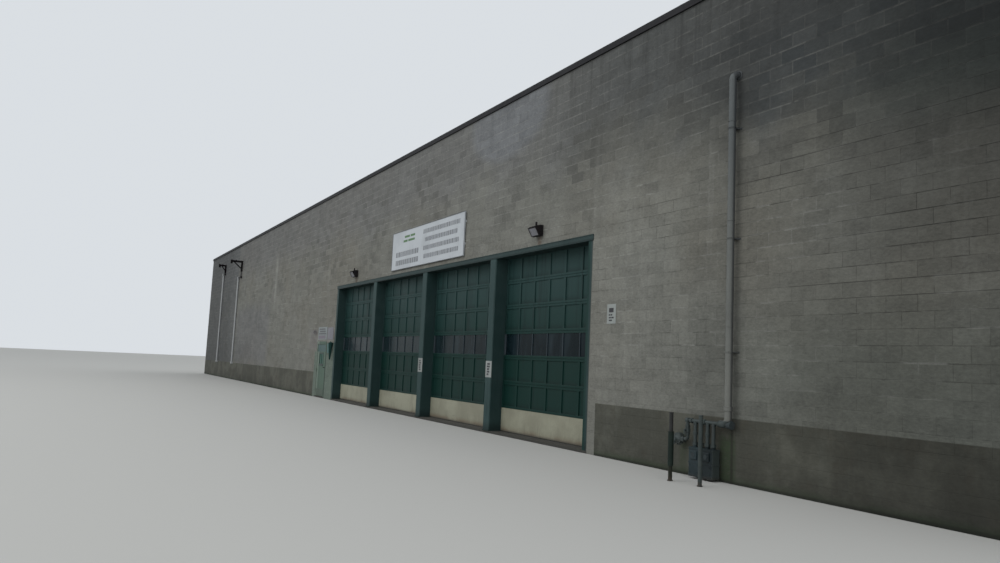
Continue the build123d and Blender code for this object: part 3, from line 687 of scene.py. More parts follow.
def makeDoorLeaf(number, material):
    look = doorLook
    low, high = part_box(f"overhead_door_{number}")
    front, back, edge, rail = low.y, high.y, look["edge"], look["rail"]
    section = (high.z - low.z) / look["sections"]
    pitch = (high.x - low.x - look["outerStile"]) / look["columns"]
    inset = look["panelInset"]
    work = bmesh.new()
    for index in range(look["sections"]):
        bottom = low.z + index * section + look["gap"] / 2
        top = low.z + (index + 1) * section - look["gap"] / 2
        glazed = index == look["windowSection"]
        for railBottom in (bottom, top - rail):
            addBox(work, (low.x, front, railBottom), (high.x, back, railBottom + rail), edge)
        for column in range(look["columns"] + 1):
            bar = look["bar"] if glazed else look["stile"]
            half = (look["outerStile"] if column in (0, look["columns"]) else bar) / 2
            middle = low.x + look["outerStile"] / 2 + column * pitch
            addBox(work, (middle - half, front, bottom + rail), (middle + half, back, top - rail), edge)
        if not glazed:
            face = front + look["recess"]
            panelEnd = (high.x - inset, face + look["panelThickness"], top - inset)
            addBox(work, (low.x + inset, face, bottom + inset), panelEnd)
    # strips that cover the gaps between sections, behind the faces
    for index in range(1, look["sections"]):
        z = low.z + index * section
        addBox(work, (low.x, front + look["stripBehind"], z - inset), (high.x, back - inset, z + inset))
    name = f"overhead_door_{number}"
    addPiece(work, f"door_leaf_{number}", material, replaces=(name,))


def makeDoorFinish(look):
    f = Finish("doorGreen", 0.45, look["shine"])
    low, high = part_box("overhead_door_1")
    section = (high.z - low.z) / look["sections"]
    blotches = f.noise(1.6, 4.0)
    fine = f.noise(70.0, 4.0, 0.7)
    colour = f.mix(blotches.step(0.40, 0.70) * 0.55, look["green"], look["greenWorn"])
    colour = f.mix(f.z.step(0.8, 1.9) * 0.75, colour, look["greenFaded"])
    colour = f.mix(f.streaks(24.0, 1.2).step(0.52, 0.74) * 0.5, colour, look["greenDirt"])
    recessed = f.y.step(innerY + 0.004, innerY + 0.008)
    inRow = ((f.z - low.z) / section).fract()
    colour = f.mix(inRow.step(0.30, 0.08) * recessed * 0.4, colour, look["greenDirt"])
    # painted highlight along the sill at the foot of each section
    sill = (1.0 - recessed) * inRow.step(0.05, 0.09) * inRow.step(0.13, 0.09)
    colour = f.mix(sill * 0.3, colour, look["sillHighlight"])
    rowBottom = low.z + look["windowSection"] * section
    clearOf = look["rail"] + 0.002
    windows = f.z.within(rowBottom + clearOf, rowBottom + section - clearOf, 0.001)
    colour = f.mix(windows * 0.9, colour, look["barGrey"])
    # recessed panels a little darker: painted shade
    tone = (0.92 + fine * 0.16) * (1.0 - recessed * 0.06)
    return f.done(f.shade(colour, tone), 0.42 + blotches * 0.25, f.bump(fine, 0.0005))


doorGreen = makeDoorFinish(doorLook)
for number in range(1, 5):
    makeDoorLeaf(number, doorGreen)
print("overhead doors made")

# Glass: dark and dusty, with faint shapes behind it
glassLook = {
    "dark": (0.0022, 0.0072, 0.0096),
    "shape": (0.0085, 0.0170, 0.0215),
    "streak": (0.024, 0.036, 0.044),
    "dust": (0.018, 0.029, 0.031),
    "farBays": (0.026, 0.044, 0.046),
    "personnel": ((0.048, 0.116, 0.090), (0.058, 0.130, 0.104), (0.036, 0.080, 0.064)),
}


def makeGlassFinish(look):
    f = Finish("dustyGlass", 0.12, 0.08)
    dust = f.noise(5.0, 4.0, 0.65)
    colour = f.mix(f.streaks(5.0, 1.4, 2.0, 0.5).step(0.48, 0.66), look["dark"], look["shape"])
    colour = f.mix(f.streaks(42.0, 2.5).step(0.56, 0.72) * 0.5, colour, look["streak"])
    colour = f.mix(dust.step(0.50, 0.80) * 0.20, colour, look["dust"])
    colour = f.mix(f.x.step(6.9, 4.5) * 0.30, colour, look["farBays"])
    return f.done(colour, 0.12 + dust * 0.22)


paint(makeGlassFinish(glassLook), "door_glass")
paint(paintFinish("tealGlass", glassLook["personnel"], 0.4, 30.0, shine=0.1), "personnel_glass")

# Kick panels: cream sheets screwed over the lowest sections
kickLook = {
    "thickness": 0.0025,
    "edge": 0.0008,
    "side": 0.006,
    "bottom": 0.004,
    "top": 0.001,
    "screwRadius": 0.0035,
    "screwHead": 0.0012,
    "screwInset": 0.018,
    "screwsAcross": 9,
    "cream": (0.284, 0.281, 0.212),
    "creamWorn": (0.223, 0.218, 0.164),
    "rust": (0.120, 0.068, 0.036),
    "scuff": (0.100, 0.094, 0.074),
}


def makeKickFinish(look):
    f = Finish("kickCream", 0.55, 0.3)
    blotches = f.noise(2.3, 4.0, 0.62)
    lower = f.z.step(0.24, 0.06)
    runs = f.streaks(30.0, 2.6).step(0.56, 0.76)
    scuffs = f.streaks(3.0, 26.0, 4.0, 0.7).step(0.60, 0.74)
    colour = f.mix(blotches.step(0.36, 0.66), look["cream"], look["creamWorn"])
    colour = f.mix(runs * (lower * 0.35 + 0.08), colour, look["scuff"])
    colour = f.mix(scuffs * (lower * 0.30 + 0.06), colour, look["scuff"])
    foot = f.z.step(0.105, 0.040)
    colour = f.mix(foot * blotches.step(0.34, 0.62) * 0.60, colour, look["rust"])
    colour = f.mix(f.z.step(0.062, 0.036) * 0.75, colour, look["scuff"])
    return f.coated(colour, f.noise(60.0, 4.0, 0.7), 0.24, 0.45 + blotches * 0.3, 0.0006)


def makeKickSheets(look, material):
    bayEdges = [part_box("jamb_left")[1].x]
    for number in range(1, 4):
        bayEdges.extend(corner.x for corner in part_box(f"post_{number}"))
    bayEdges.append(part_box("jamb_right")[0].x)
    low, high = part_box("kick_panels")
    bottom, top = low.z + look["bottom"], high.z - look["top"]
    face = innerY - look["thickness"]
    inset, last = look["screwInset"], look["screwsAcross"] - 1
    for number, (left, right) in enumerate(zip(bayEdges[0::2], bayEdges[1::2]), start=1):
        left, right = left + look["side"], right - look["side"]
        work = bmesh.new()
        addBox(work, (left, face, bottom), (right, innerY, top), look["edge"])
        for z in (bottom + inset, top - inset):
            for i in range(last + 1):
                x = left + inset + i / last * (right - left - 2 * inset)
                addHead(work, x, face, z, look["screwHead"], look["screwRadius"], 8)
        addPiece(work, f"kick_sheet_{number}", material)


kickCream = makeKickFinish(kickLook)
paint(kickCream, "kick_panels")
makeKickSheets(kickLook, kickCream)

# Posts, jambs and lintel in green, with cover plates on the fronts
postLook = {
    "plateInset": 0.011,
    "plateThickness": 0.0035,
    "plateEdge": 0.0012,
    "baseHeight": 0.006,
    "baseOut": 0.016,
    "baseInset": 0.002,
    "boltInset": 0.014,
    "boltSize": 0.005,
    "bareEdge": 0.066,
    "lappedWidth": 0.032,
    "green": (0.0215, 0.0465, 0.0455),
    "greenWorn": (0.0315, 0.0590, 0.0580),
    "greenDirt": (0.0100, 0.0170, 0.0160),
    "sideShade": (0.0070, 0.0140, 0.0130),
    "undersideShade": (0.0060, 0.0140, 0.0130),
    "shine": 0.14,
}
lintelLook = {**postLook, "green": (0.0205, 0.0390, 0.0385), "greenWorn": (0.0310, 0.0510, 0.0505)}


def makePostFinish(name, look, shadeFrom, lappedFrom=None, shadedBelow=None):
    f = Finish(name, 0.5, look["shine"])
    blotches = f.noise(2.2, 4.0, 0.62)
    colour = f.mix(blotches.step(0.38, 0.68), look["green"], look["greenWorn"])
    colour = f.mix(f.streaks(30.0, 1.1).step(0.55, 0.76) * 0.5, colour, look["greenDirt"])
    # faces behind the front, the sides of posts and jambs, painted darker: painted shade
    colour = f.mix(f.y.step(shadeFrom, shadeFrom + 0.004) * 0.20, colour, look["sideShade"])
    colour = f.mix(f.z.step(0.16, 0.03) * 0.6, colour, look["greenDirt"])
    if shadedBelow is not None:          # painted shade along the lower edge
        colour = f.mix(f.z.step(shadedBelow + 0.003, shadedBelow) * 0.5, colour, look["undersideShade"])
    if lappedFrom is not None:           # wall paint lapped over the outer edge of the channel
        innerFrom = lappedFrom - look["lappedWidth"]
        inner = f.x.step(innerFrom, innerFrom - 0.004)
        colour = f.mix(inner * 0.8, f.shade(colour, 0.78), doorLook["greenWorn"])
        lapped = f.x.step(lappedFrom - 0.001, lappedFrom + 0.001)
        colour = f.mix(lapped, colour, f.shade(wallLook["paint"], 0.56 + blotches * 0.25))
    return f.coated(colour, f.noise(60.0, 4.0, 0.7), 0.2, 0.42 + blotches * 0.25, 0.0005)


def makePostPlates(look, material):
    for name in ("post_1", "post_2", "post_3"):
        low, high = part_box(name)
        work = bmesh.new()
        inset, baseTop = look["plateInset"], low.z + look["baseHeight"]
        addPlate(
            work, low.x + inset, high.x - inset, baseTop, high.z,
            low.y, look["plateThickness"], look["plateEdge"],
        )
        left, right = low.x + look["baseInset"], high.x - look["baseInset"]
        addPlate(work, left, right, low.z, baseTop, low.y, look["baseOut"], 0.001)
        size = look["boltSize"]
        for x in (low.x + look["boltInset"], high.x - look["boltInset"]):
            addUpright(work, x, low.y - look["baseOut"] / 2, baseTop, baseTop + size, size, 6)
        addPiece(work, f"cover_{name}", material)


postGreen = makePostFinish("postGreen", postLook, frontY + 0.001)
paint(postGreen, "jamb_left", "post_1", "post_2", "post_3")
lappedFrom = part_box("jamb_right")[0].x + postLook["bareEdge"]
paint(makePostFinish("jambGreen", postLook, frontY + 0.001, lappedFrom), "jamb_right")
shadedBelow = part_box("lintel")[0].z + 0.017
paint(makePostFinish("lintelGreen", lintelLook, frontY + 0.01, None, shadedBelow), "lintel")
makePostPlates(postLook, postGreen)
print("posts and kick panels made")


# Signs: bare white boards with a thin frame and plain broken bars, no words
signLook = {
    # paint of the boards: clean, worn, and how worn
    "signWhite": ((0.436, 0.462, 0.488), (0.350, 0.371, 0.392), 0.6),
    "signDull": ((0.190, 0.210, 0.212), (0.162, 0.178, 0.182), 0.5),
    "plateWhite": ((0.270, 0.290, 0.280), (0.200, 0.210, 0.200), 0.9),
    "dirt": (0.13, 0.13, 0.12),
    # paint of the bars and edges: clean, worn, dirt
    "fadedInk": ((0.170, 0.180, 0.195), (0.220, 0.230, 0.240), (0.15, 0.15, 0.15)),
    "dullInk": ((0.080, 0.086, 0.092), (0.100, 0.106, 0.112), (0.08, 0.08, 0.08)),
    "plateInk": ((0.030, 0.030, 0.034), (0.05, 0.05, 0.055), (0.03, 0.03, 0.03)),
    "greenInk": ((0.070, 0.155, 0.060), (0.10, 0.17, 0.085), (0.08, 0.12, 0.07)),
    "lilacInk": ((0.140, 0.124, 0.150), (0.165, 0.150, 0.175), (0.14, 0.13, 0.15)),
    "boardEdge": ((0.10, 0.11, 0.12), (0.07, 0.07, 0.075), (0.04, 0.04, 0.04)),
    "plainLilac": ((0.185, 0.185, 0.205), (0.155, 0.150, 0.165), (0.10, 0.10, 0.10)),
    "frameWidth": 0.007,
    "frameOut": 0.004,
    "rivets": 8,
    "rivetInset": 0.03,
    "rivetRadius": 0.004,
    "barOut": 0.0012,
    "plateSpan": 0.14,
    "screwInset": 0.02,
    "screwRadius": 0.005,
    "seed": 7,
    "rivetOut": 0.0015,
    "screwOut": 0.002,
    # bars of the long board: area and height as shares of it, then shortest, longest and gap
    "rightBars": ((0.47, 0.10, 0.95, 0.92), 4, 0.105, 0.014, 0.045, 0.015),
    "leftBars": ((0.05, 0.07, 0.43, 0.50), 2, 0.130, 0.024, 0.070, 0.018),
    "greenBars": ((0.17, 0.66, 0.37, 0.88), 2, 0.055, 0.10, 0.30, 0.03),
    # bars of the other boards: rows, height, shortest, longest and gap
    "doorBars": (3, 0.11, 0.05, 0.15, 0.014),
    "postBars": (5, 0.020, 0.035, 0.075, 0.010),
    "wallBars": (3, 0.013, 0.020, 0.050, 0.008),
    "doorArea": (0.05, 0.38, 0.08),      # inset at the sides, shares below and above
    "postArea": (0.22, 0.78, 0.02),      # from and to as shares of the width, inset below and above
    "wallArea": (0.024, 0.10, 0.52),     # inset at the sides, from and to as shares of the height
    "wallBlock": (0.034, 0.030, 0.58, 0.80),     # reach to the left and right, then as above
    "stripe": (0.03, 0.10, 0.22),        # inset on the left and right, height as a share
    "stripeReach": (0.034, 0.026),
}


def makeSignFinish(name, look):
    clean, worn, dirty = look[name]
    f = Finish(name, 0.45, 0.3)
    blotches = f.noise(2.0, 4.0)
    colour = f.mix(blotches.step(0.40, 0.68) * dirty, clean, worn)
    colour = f.mix(f.streaks(26.0, 1.8).step(0.56, 0.78) * 0.30 * dirty, colour, look["dirt"])
    return f.coated(colour, f.noise(80.0, 3.0), 0.1, 0.40 + blotches * 0.2, 0.0003)


def addBars(work, area, face, rows, barHeight, shortest, longest, gap, draw):
    # broken bars in rows, inside area = (left, bottom, right, top)
    left, bottom, right, top = area
    pitch = (top - bottom) / rows
    for row in range(rows):
        z = bottom + (row + 0.5) * pitch - barHeight / 2
        inset = draw.uniform(0.0, 0.12) * (right - left)
        x = left + inset
        while x < right - inset - shortest:
            end = min(x + draw.uniform(shortest, longest), right - inset)
            addPlate(work, x, end, z, z + barHeight, face, signLook["barOut"])
            x = end + gap


def addStrips(work, left, right, bottom, top, width, face, out, edge):
    # four strips round the inside of a rectangle
    for low in (bottom, top - width):
        addPlate(work, left, right, low, low + width, face, out, edge)
    for start in (left, right - width):
        addPlate(work, start, start + width, bottom + width, top - width, face, out, edge)


def makeSigns(look):
    draw = random.Random(look["seed"])
    paint(makeSignFinish("signWhite", look), "sign_board")
    paint(makeSignFinish("signDull", look), "door_sign")
    paint(makeSignFinish("plateWhite", look), "post_plates", "wall_plate")
    paint(paintFinish("plainLilac", look["plainLilac"], 0.6, 60.0), "plain_board")
    fadedInk, dullInk, plateInk, greenInk, lilacInk = (
        paintFinish(name, look[name], 0.5, 80.0)
        for name in ("fadedInk", "dullInk", "plateInk", "greenInk", "lilacInk")
    )
    # the long board: frame with rivets, and lines on its right half and lower left
    low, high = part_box("sign_board")
    width, height = high.x - low.x, high.z - low.z
    strip, out, inset = look["frameWidth"], look["frameOut"], look["rivetInset"]
    work = bmesh.new()
    addStrips(work, low.x, high.x, low.z, high.z, strip, low.y, out, 0.001)
    for i in range(look["rivets"]):
        x = low.x + inset + i * (width - 2 * inset) / (look["rivets"] - 1)
        for z in (low.z + strip, high.z - strip):
            addHead(work, x, low.y - out, z, look["rivetOut"], look["rivetRadius"])
    edgeGrey = paintFinish("boardEdge", look["boardEdge"], 0.5, 60.0)
    addPiece(work, "sign_board_frame", edgeGrey)

    def addBoardBars(work, key):
        (left, bottom, right, top), rows, share, *lengths = look[key]
        area = (low.x + width * left, low.z + height * bottom, low.x + width * right, low.z + height * top)
        addBars(work, area, low.y, rows, height * share, *lengths, draw)

    work = bmesh.new()
    addBoardBars(work, "rightBars")
    addBoardBars(work, "leftBars")
    addPiece(work, "sign_bars", fadedInk)
    # the board over the personnel door
    doorLow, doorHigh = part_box("door_sign")
    size = doorHigh.z - doorLow.z
    work = bmesh.new()
    inset, below, above = look["doorArea"]
    area = (doorLow.x + inset, doorLow.z + size * below, doorHigh.x - inset, doorHigh.z - size * above)
    rows, share, *lengths = look["doorBars"]
    addBars(work, area, doorLow.y, rows, size * share, *lengths, draw)
    addPiece(work, "door_sign_bars", dullInk)
    # plates on two posts and on the wall: rows of dark bars, and a plain dark block on the wall's
    work = bmesh.new()
    lowest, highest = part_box("post_plates")
    span, (start, end, inset) = look["plateSpan"], look["postArea"]
    for left in (lowest.x, highest.x - span):
        area = (left + span * start, lowest.z + inset, left + span * end, highest.z - inset)
        addBars(work, area, lowest.y, *look["postBars"], draw)
    lowest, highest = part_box("wall_plate")
    middle, tall = (lowest.x + highest.x) / 2, highest.z - lowest.z
    left, right, start, end = look["wallBlock"]
    blockLow, blockHigh = lowest.z + tall * start, lowest.z + tall * end
    addPlate(work, middle - left, middle + right, blockLow, blockHigh, lowest.y, look["barOut"])
    inset, start, end = look["wallArea"]
    area = (lowest.x + inset, lowest.z + tall * start, highest.x - inset, lowest.z + tall * end)
    addBars(work, area, lowest.y, *look["wallBars"], draw)
    addPiece(work, "plate_bars", plateInk)
    work = bmesh.new()
    addBoardBars(work, "greenBars")
    addPiece(work, "sign_green_bars", greenInk)
    work = bmesh.new()
    (left, right, share), (below, above) = look["stripe"], look["stripeReach"]
    left, right, z = doorLow.x + left, doorHigh.x - right, doorLow.z + size * share
    addPlate(work, left, right, z - below, z + above, doorLow.y, look["barOut"])
    addPiece(work, "door_sign_stripe", lilacInk)
    work = bmesh.new()
    low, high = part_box("plain_board")
    inset = look["screwInset"]
    for x in (low.x + inset, high.x - inset):
        for z in (low.z + inset, high.z - inset):
            addHead(work, x, low.y, z, look["screwOut"], look["screwRadius"], 8)
    addPiece(work, "plain_board_screws", fadedInk)


makeSigns(signLook)
print("signs made")

# Personnel door: teal panel, window bead, kick plate, and a raised edge and bolts on its frame
personLook = {
    "green": (0.055, 0.100, 0.070),
    "greenWorn": (0.078, 0.122, 0.090),
    "brown": (0.048, 0.042, 0.030),
    "pale": (0.156, 0.192, 0.160),
    "seam": (0.026, 0.044, 0.034),
    "bead": ((0.022, 0.040, 0.034), (0.036, 0.056, 0.048), (0.048, 0.042, 0.030)),
    "teal": ((0.034, 0.078, 0.075), (0.048, 0.092, 0.088), (0.048, 0.042, 0.030)),
    "kick": ((0.052, 0.076, 0.055), (0.042, 0.052, 0.038), (0.048, 0.042, 0.030)),
    "leafThickness": 0.022,
    "beadWidth": 0.022,
    "beadOut": 0.003,
    "barHalf": 0.004,
    "barOut": 0.001,
    "barDepth": 0.007,
    "edgeInset": 0.001,
    "edgeWidth": 0.007,
    "edgeOut": 0.0006,
    "sillHeight": 0.016,
    "sillOut": 0.010,
    "sillBeyond": 0.020,
    "panelLeft": 0.013,
    "panelBottom": 0.872,
    "panelOut": 0.0022,
    "kickSpan": (0.055, 0.482),
    "kickHeight": (0.040, 0.165),
    "kickOut": 0.0015,
    "kickScrews": (0.065, 0.271, 0.477),
    "screwInset": 0.010,
    "screwOut": 0.0012,
    "screwRadius": 0.003,
    "trimOut": 0.003,
    "trimWidth": 0.008,
    "trimInset": 0.004,
    "boltHeights": (0.18, 0.55, 0.93),
    "boltInsets": (0.020, 0.024),
    "boltRadius": 0.006,
}


def makePersonnelFinish(look):
    f = Finish("paleGreenDoor", 0.5, 0.3)
    blotches = f.noise(4.0, 4.0, 0.62)
    scrapes = f.streaks(34.0, 5.0, 4.0, 0.65)
    colour = f.mix(blotches.step(0.38, 0.68), look["green"], look["greenWorn"])
    low = f.z.step(0.42, 0.05)
    colour = f.mix(low * scrapes.step(0.46, 0.66) * 0.75, colour, look["brown"])
    colour = f.mix(scrapes.step(0.62, 0.80) * 0.35, colour, look["brown"])
    # paler toward the hinge side, a dark seam beside the hinges, and painted shade of the gap at the latch
    # side
    colour = f.mix(f.x.step(0.11, 0.05) * 0.85, colour, look["pale"])
    seams = (f.x.within(0.150, 0.185, 0.012) * 0.5).most(f.x.within(0.527, 0.570, 0.010) * 0.85)
    colour = f.mix(seams, colour, look["seam"])
    return f.coated(colour, f.noise(90.0, 4.0, 0.7), 0.2, 0.42 + blotches * 0.25, 0.0005)


def makePersonnelDoor(look):
    paleGreen = makePersonnelFinish(look)
    paint(paleGreen, "personnel_leaf", "personnel_frame")
    low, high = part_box("personnel_leaf")
    glassLow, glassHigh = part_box("personnel_glass")
    face = high.y - look["leafThickness"]
    wide, out = look["beadWidth"], look["beadOut"]
    # bead on both sides of the glass, a bar down its middle, a sill and the edge of the leaf
    work = bmesh.new()
    left, right = glassLow.x - wide, glassHigh.x + wide
    for beadFace in (face, high.y + out):
        addStrips(work, left, right, glassLow.z - wide, glassHigh.z + wide, wide, beadFace, out, 0.0008)
    middle, half = (glassLow.x + glassHigh.x) / 2, look["barHalf"]
    barBack = face - look["barOut"] + look["barDepth"]
    addPlate(work, middle - half, middle + half, glassLow.z, glassHigh.z, barBack, look["barDepth"])
    beyond, sillTop = look["sillBeyond"], glassLow.z - wide
    addPlate(
        work, glassLow.x - beyond, glassHigh.x + beyond, sillTop - look["sillHeight"], sillTop,
        face, look["sillOut"], 0.001,
    )
    right, inset = high.x - look["edgeInset"], look["trimInset"]
    left = right - look["edgeWidth"]
    addPlate(work, left, right, low.z + inset, high.z - inset, face, look["edgeOut"])
    bead = paintFinish("darkBead", look["bead"], 0.45, 90.0)
    addPiece(work, "leaf_window_bead", bead, "personnel_door")
    work = bmesh.new()
    panelRight, panelTop = high.x - 0.010, high.z - 0.008
    addPlate(
        work, look["panelLeft"], panelRight, look["panelBottom"], panelTop,
        face, look["panelOut"], 0.0006,
    )
    teal = paintFinish("tealPanel", look["teal"], 0.45, 80.0)
    addPiece(work, "leaf_top_panel", teal, "personnel_door")
    work = bmesh.new()
    out, (bottom, top) = look["kickOut"], look["kickHeight"]
    addPlate(work, *look["kickSpan"], bottom, top, face, out, 0.0006)
    for x in look["kickScrews"]:
        for z in (bottom + look["screwInset"], top - look["screwInset"]):
            addHead(work, x, face - out, z, look["screwOut"], look["screwRadius"], 8)
    plate = paintFinish("kickPlate", look["kick"], 0.5, 90.0)
    addPiece(work, "leaf_kick_plate", plate, "personnel_door")
    # a raised edge round the steel frame, and bolts in its face
    work = bmesh.new()
    low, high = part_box("personnel_frame")
    out, wide, inset = look["trimOut"], look["trimWidth"], look["trimInset"]
    left, right = low.x + inset, doorwayRight - wide - inset
    for x in (left, right):
        addPlate(work, x, x + wide, low.z + 0.001, high.z, frontY, out, 0.0008)
    addPlate(work, left + wide, right, high.z - wide - inset, high.z - inset, frontY, out, 0.0008)
    leftInset, rightInset = look["boltInsets"]
    for z in look["boltHeights"]:
        for x in (doorwayLeft + leftInset, doorwayRight - rightInset):
            addHead(work, x, frontY, z, out, look["boltRadius"])
    addPiece(work, "personnel_frame_trim", paleGreen)


makePersonnelDoor(personLook)
print("personnel door made")

# Dark metal on the wall: lamps, fixture, lantern, box, lever
darkLook = {
    "darkMetal": ((0.0095, 0.0080, 0.0095), (0.0180, 0.0150, 0.0160), (0.040, 0.022, 0.015)),
    "lanternGreen": ((0.0140, 0.0430, 0.0380), (0.022, 0.055, 0.049), (0.0095, 0.0080, 0.0095)),
    "fixtureGrey": ((0.220, 0.212, 0.214), (0.175, 0.170, 0.171), (0.0180, 0.0150, 0.0160)),
    "boxTeal": ((0.110, 0.175, 0.170), (0.125, 0.195, 0.188), (0.060, 0.090, 0.085)),
}
darkMetal = paintFinish("darkMetal", darkLook["darkMetal"], 0.55, 60.0, shine=0.2)
lanternGreen = paintFinish("lanternGreen", darkLook["lanternGreen"], shine=0.05)
fixtureGrey = paintFinish("fixtureGrey", darkLook["fixtureGrey"], shine=0.1)
boxTeal = paintFinish("boxTeal", darkLook["boxTeal"], 0.85, 70.0, shine=0.0)
paint(darkMetal, "personnel_lever", "flood_lamps")
paint(lanternGreen, "lantern")
paint(fixtureGrey, "wall_fixture")
paint(boxTeal, "pier_box")

lampLook = {
    "lens": (0.215, 0.215, 0.240),
    "lensDust": (0.140, 0.140, 0.150),
    "width": 0.150,
    "reach": 0.104,
    "lean": 0.050,
    "drop": 0.083,
    "below": 0.090,
    "back": 0.040,
    "knob": 0.011,
    "knobHeights": (0.040, 0.064),
    "rim": 0.005,
    "rimDepth": 0.008,
    # cooling ribs: where they start and end, from the wall and from the lamp's middle
    "ribStart": (0.044, 0.031),
    "ribEnd": (0.106, 0.007),
    "ribRadius": 0.0028,
    "boltBack": 0.020,
    "boltAside": 0.067,
    "boltOut": 0.004,
    "boltRadius": 0.006,
    "knobTube": 0.002,
    "lensOut": 0.004,
    "lensEdge": 0.002,
}


def makeLensFinish(look):
    f = Finish("frostedLens", 0.25, 0.3)
    ribs = (f.x * 160.0).fract().step(0.0, 0.5)
    dust = f.noise(12.0, 4.0)
    colour = f.mix(dust.step(0.4, 0.7), look["lens"], look["lensDust"])
    return f.done(f.shade(colour, 0.86 + ribs * 0.14), 0.2 + dust * 0.2, f.bump(ribs, 0.0006))


def makeLamps(look):
    low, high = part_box("flood_lamps")
    lens = makeLensFinish(look)
    half, lean, drop, rim = look["width"] / 2, look["lean"], look["drop"], look["rim"]
    rise = math.hypot(lean, drop) / 2
    turn = Matrix.Rotation(math.atan2(lean, drop), 4, "X")
    z = low.z + look["below"]
    (startBack, startUp), (endBack, endUp) = look["ribStart"], look["ribEnd"]
    for number, x in enumerate((low.x + half, high.x - half), start=1):
        # the lens and its rim lie flat at the origin, then lean into place
        place = Matrix.Translation((x, frontY - look["reach"] + lean / 2, z - drop / 2)) @ turn
        work = bmesh.new()
        addPlate(
            work, rim - half, half - rim, rim - rise, rise - rim, 0, look["lensOut"], look["lensEdge"]
        )
        bmesh.ops.transform(work, matrix=place, verts=work.verts)
        addPiece(work, f"flood_lens_{number}", lens)
        work = bmesh.new()
        addStrips(work, -half, half, -rise, rise, rim, 0, look["rimDepth"], 0.001)
        bmesh.ops.transform(work, matrix=place, verts=work.verts)
        for i in range(-3, 4):
            ribX = x + i * half / 4
            ribEnd = (ribX, frontY - endBack, z + endUp)
            addRod(work, (ribX, frontY - startBack, z + startUp), ribEnd, look["ribRadius"], 6)
        for height in look["knobHeights"]:
            y = frontY - look["back"] - look["knob"]
            addHoop(work, x, y, z + height, look["knob"], look["knobTube"], 16)
        y = frontY - look["boltBack"]
        for side in (-1, 1):
            boltX = x + side * look["boltAside"]
            addRod(work, (boltX, y, z), (boltX - side * look["boltOut"], y, z), look["boltRadius"], 6)
        addPiece(work, f"flood_trim_{number}", darkMetal, spun=True)


lanternLook = {
    "roofHeight": 0.022,
    "footHeight": 0.012,
    "knobHeight": 0.016,
    "hoops": (0.04, 0.5, 0.96),
    "hoopTube": 0.0028,
    "bars": 6,
    "barRadius": 0.0022,
    "barFoot": 0.0125,
    "barTop": 0.0385,
    "plateHalf": 0.016,
    "plateBelow": 0.050,
    "plateOut": 0.004,
    # radii at the foot and the top
    "roof": (0.043, 0.012),
    "knob": (0.006, 0.003),
    "foot": (0.004, 0.013),
    "knobSunk": 0.002,
    "hoopRadius": 0.012,
    "hoopGrowth": 0.026,
}


def makeLantern(look):
    low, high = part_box("lantern")
    x, y, top = (low.x + high.x) / 2, low.y + (high.x - low.x) / 2, high.z
    roofTop = top + look["roofHeight"]
    work = bmesh.new()
    for key, bottom, end, sides in (
        ("roof", top, roofTop, 20),
        ("knob", roofTop - look["knobSunk"], roofTop + look["knobHeight"], 10),
        ("foot", low.z - look["footHeight"], low.z, 10),
    ):
        radius, endRadius = look[key]
        addUpright(work, x, y, bottom, end, radius, sides, endRadius)
    for share in look["hoops"]:
        radius = look["hoopRadius"] + share * look["hoopGrowth"]
        addHoop(work, x, y, low.z + share * (top - low.z), radius, look["hoopTube"])
    for i in range(look["bars"]):
        angle = math.tau * i / look["bars"]
        outward = Vector((math.cos(angle), math.sin(angle), 0))
        start = Vector((x, y, low.z)) + outward * look["barFoot"]
        addRod(work, start, Vector((x, y, top)) + outward * look["barTop"], look["barRadius"], 6)
    half, plateFoot = look["plateHalf"], top - look["plateBelow"]
    addPlate(work, x - half, x + half, plateFoot, top + half, frontY, look["plateOut"], 0.001)
    addPiece(work, "lantern_cage", lanternGreen, spun=True)


fixtureLook = {
    "hoodBeyond": 0.004,
    "hoodOut": 0.008,
    "hoodRise": 0.003,
    # the ends of the lens: out from the face and up from the foot
    "lensEnds": ((-0.004, 0.026), (0.006, 0.020)),
    "lensRadius": 0.015,
    "lidInset": 0.010,
    "lidOut": 0.003,
    "lidEdge": 0.0012,
    "hingeInset": 0.040,
    "hingeHalf": 0.012,
    "hingeRadius": 0.004,
    "latchInset": 0.026,
    "latchOut": 0.004,
    "latchRadius": 0.006,
}


def makeFixtures(look):
    # a hood and a lens on the small fixture
    low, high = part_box("wall_fixture")
    middle, beyond = (low.x + high.x) / 2, look["hoodBeyond"]
    left, right, hoodTop = low.x - beyond, high.x + beyond, high.z + look["hoodRise"]
    work = bmesh.new()
    hoodOut = high.y - low.y + look["hoodOut"]
    addPlate(work, left, right, high.z - beyond, hoodTop, high.y, hoodOut, 0.001)
    start, end = ((middle, low.y - out, low.z + up) for out, up in look["lensEnds"])
    addRod(work, start, end, look["lensRadius"], 16)
    addPiece(work, "wall_fixture_hood", fixtureGrey)
    # a lid, two hinges and a latch on the box beside the personnel door
    low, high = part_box("pier_box")
    inset, out = look["lidInset"], look["lidOut"]
    left, right = low.x + inset, high.x - inset
    work = bmesh.new()
    addPlate(work, left, right, low.z + inset, high.z - inset, low.y, out, look["lidEdge"])
    half, radius = look["hingeHalf"], look["hingeRadius"]
    for z in (low.z + look["hingeInset"], high.z - look["hingeInset"]):
        addUpright(work, low.x + inset / 2, low.y - radius / 2, z - half, z + half, radius, 8)
    latchX, latchZ = high.x - look["latchInset"], (low.z + high.z) / 2
    addHead(work, latchX, low.y - out, latchZ, look["latchOut"], look["latchRadius"], 12)
    addPiece(work, "pier_box_cover", boxTeal)


makeLamps(lampLook)
makeLantern(lanternLook)
makeFixtures(fixtureLook)
print("lamps and lantern made")


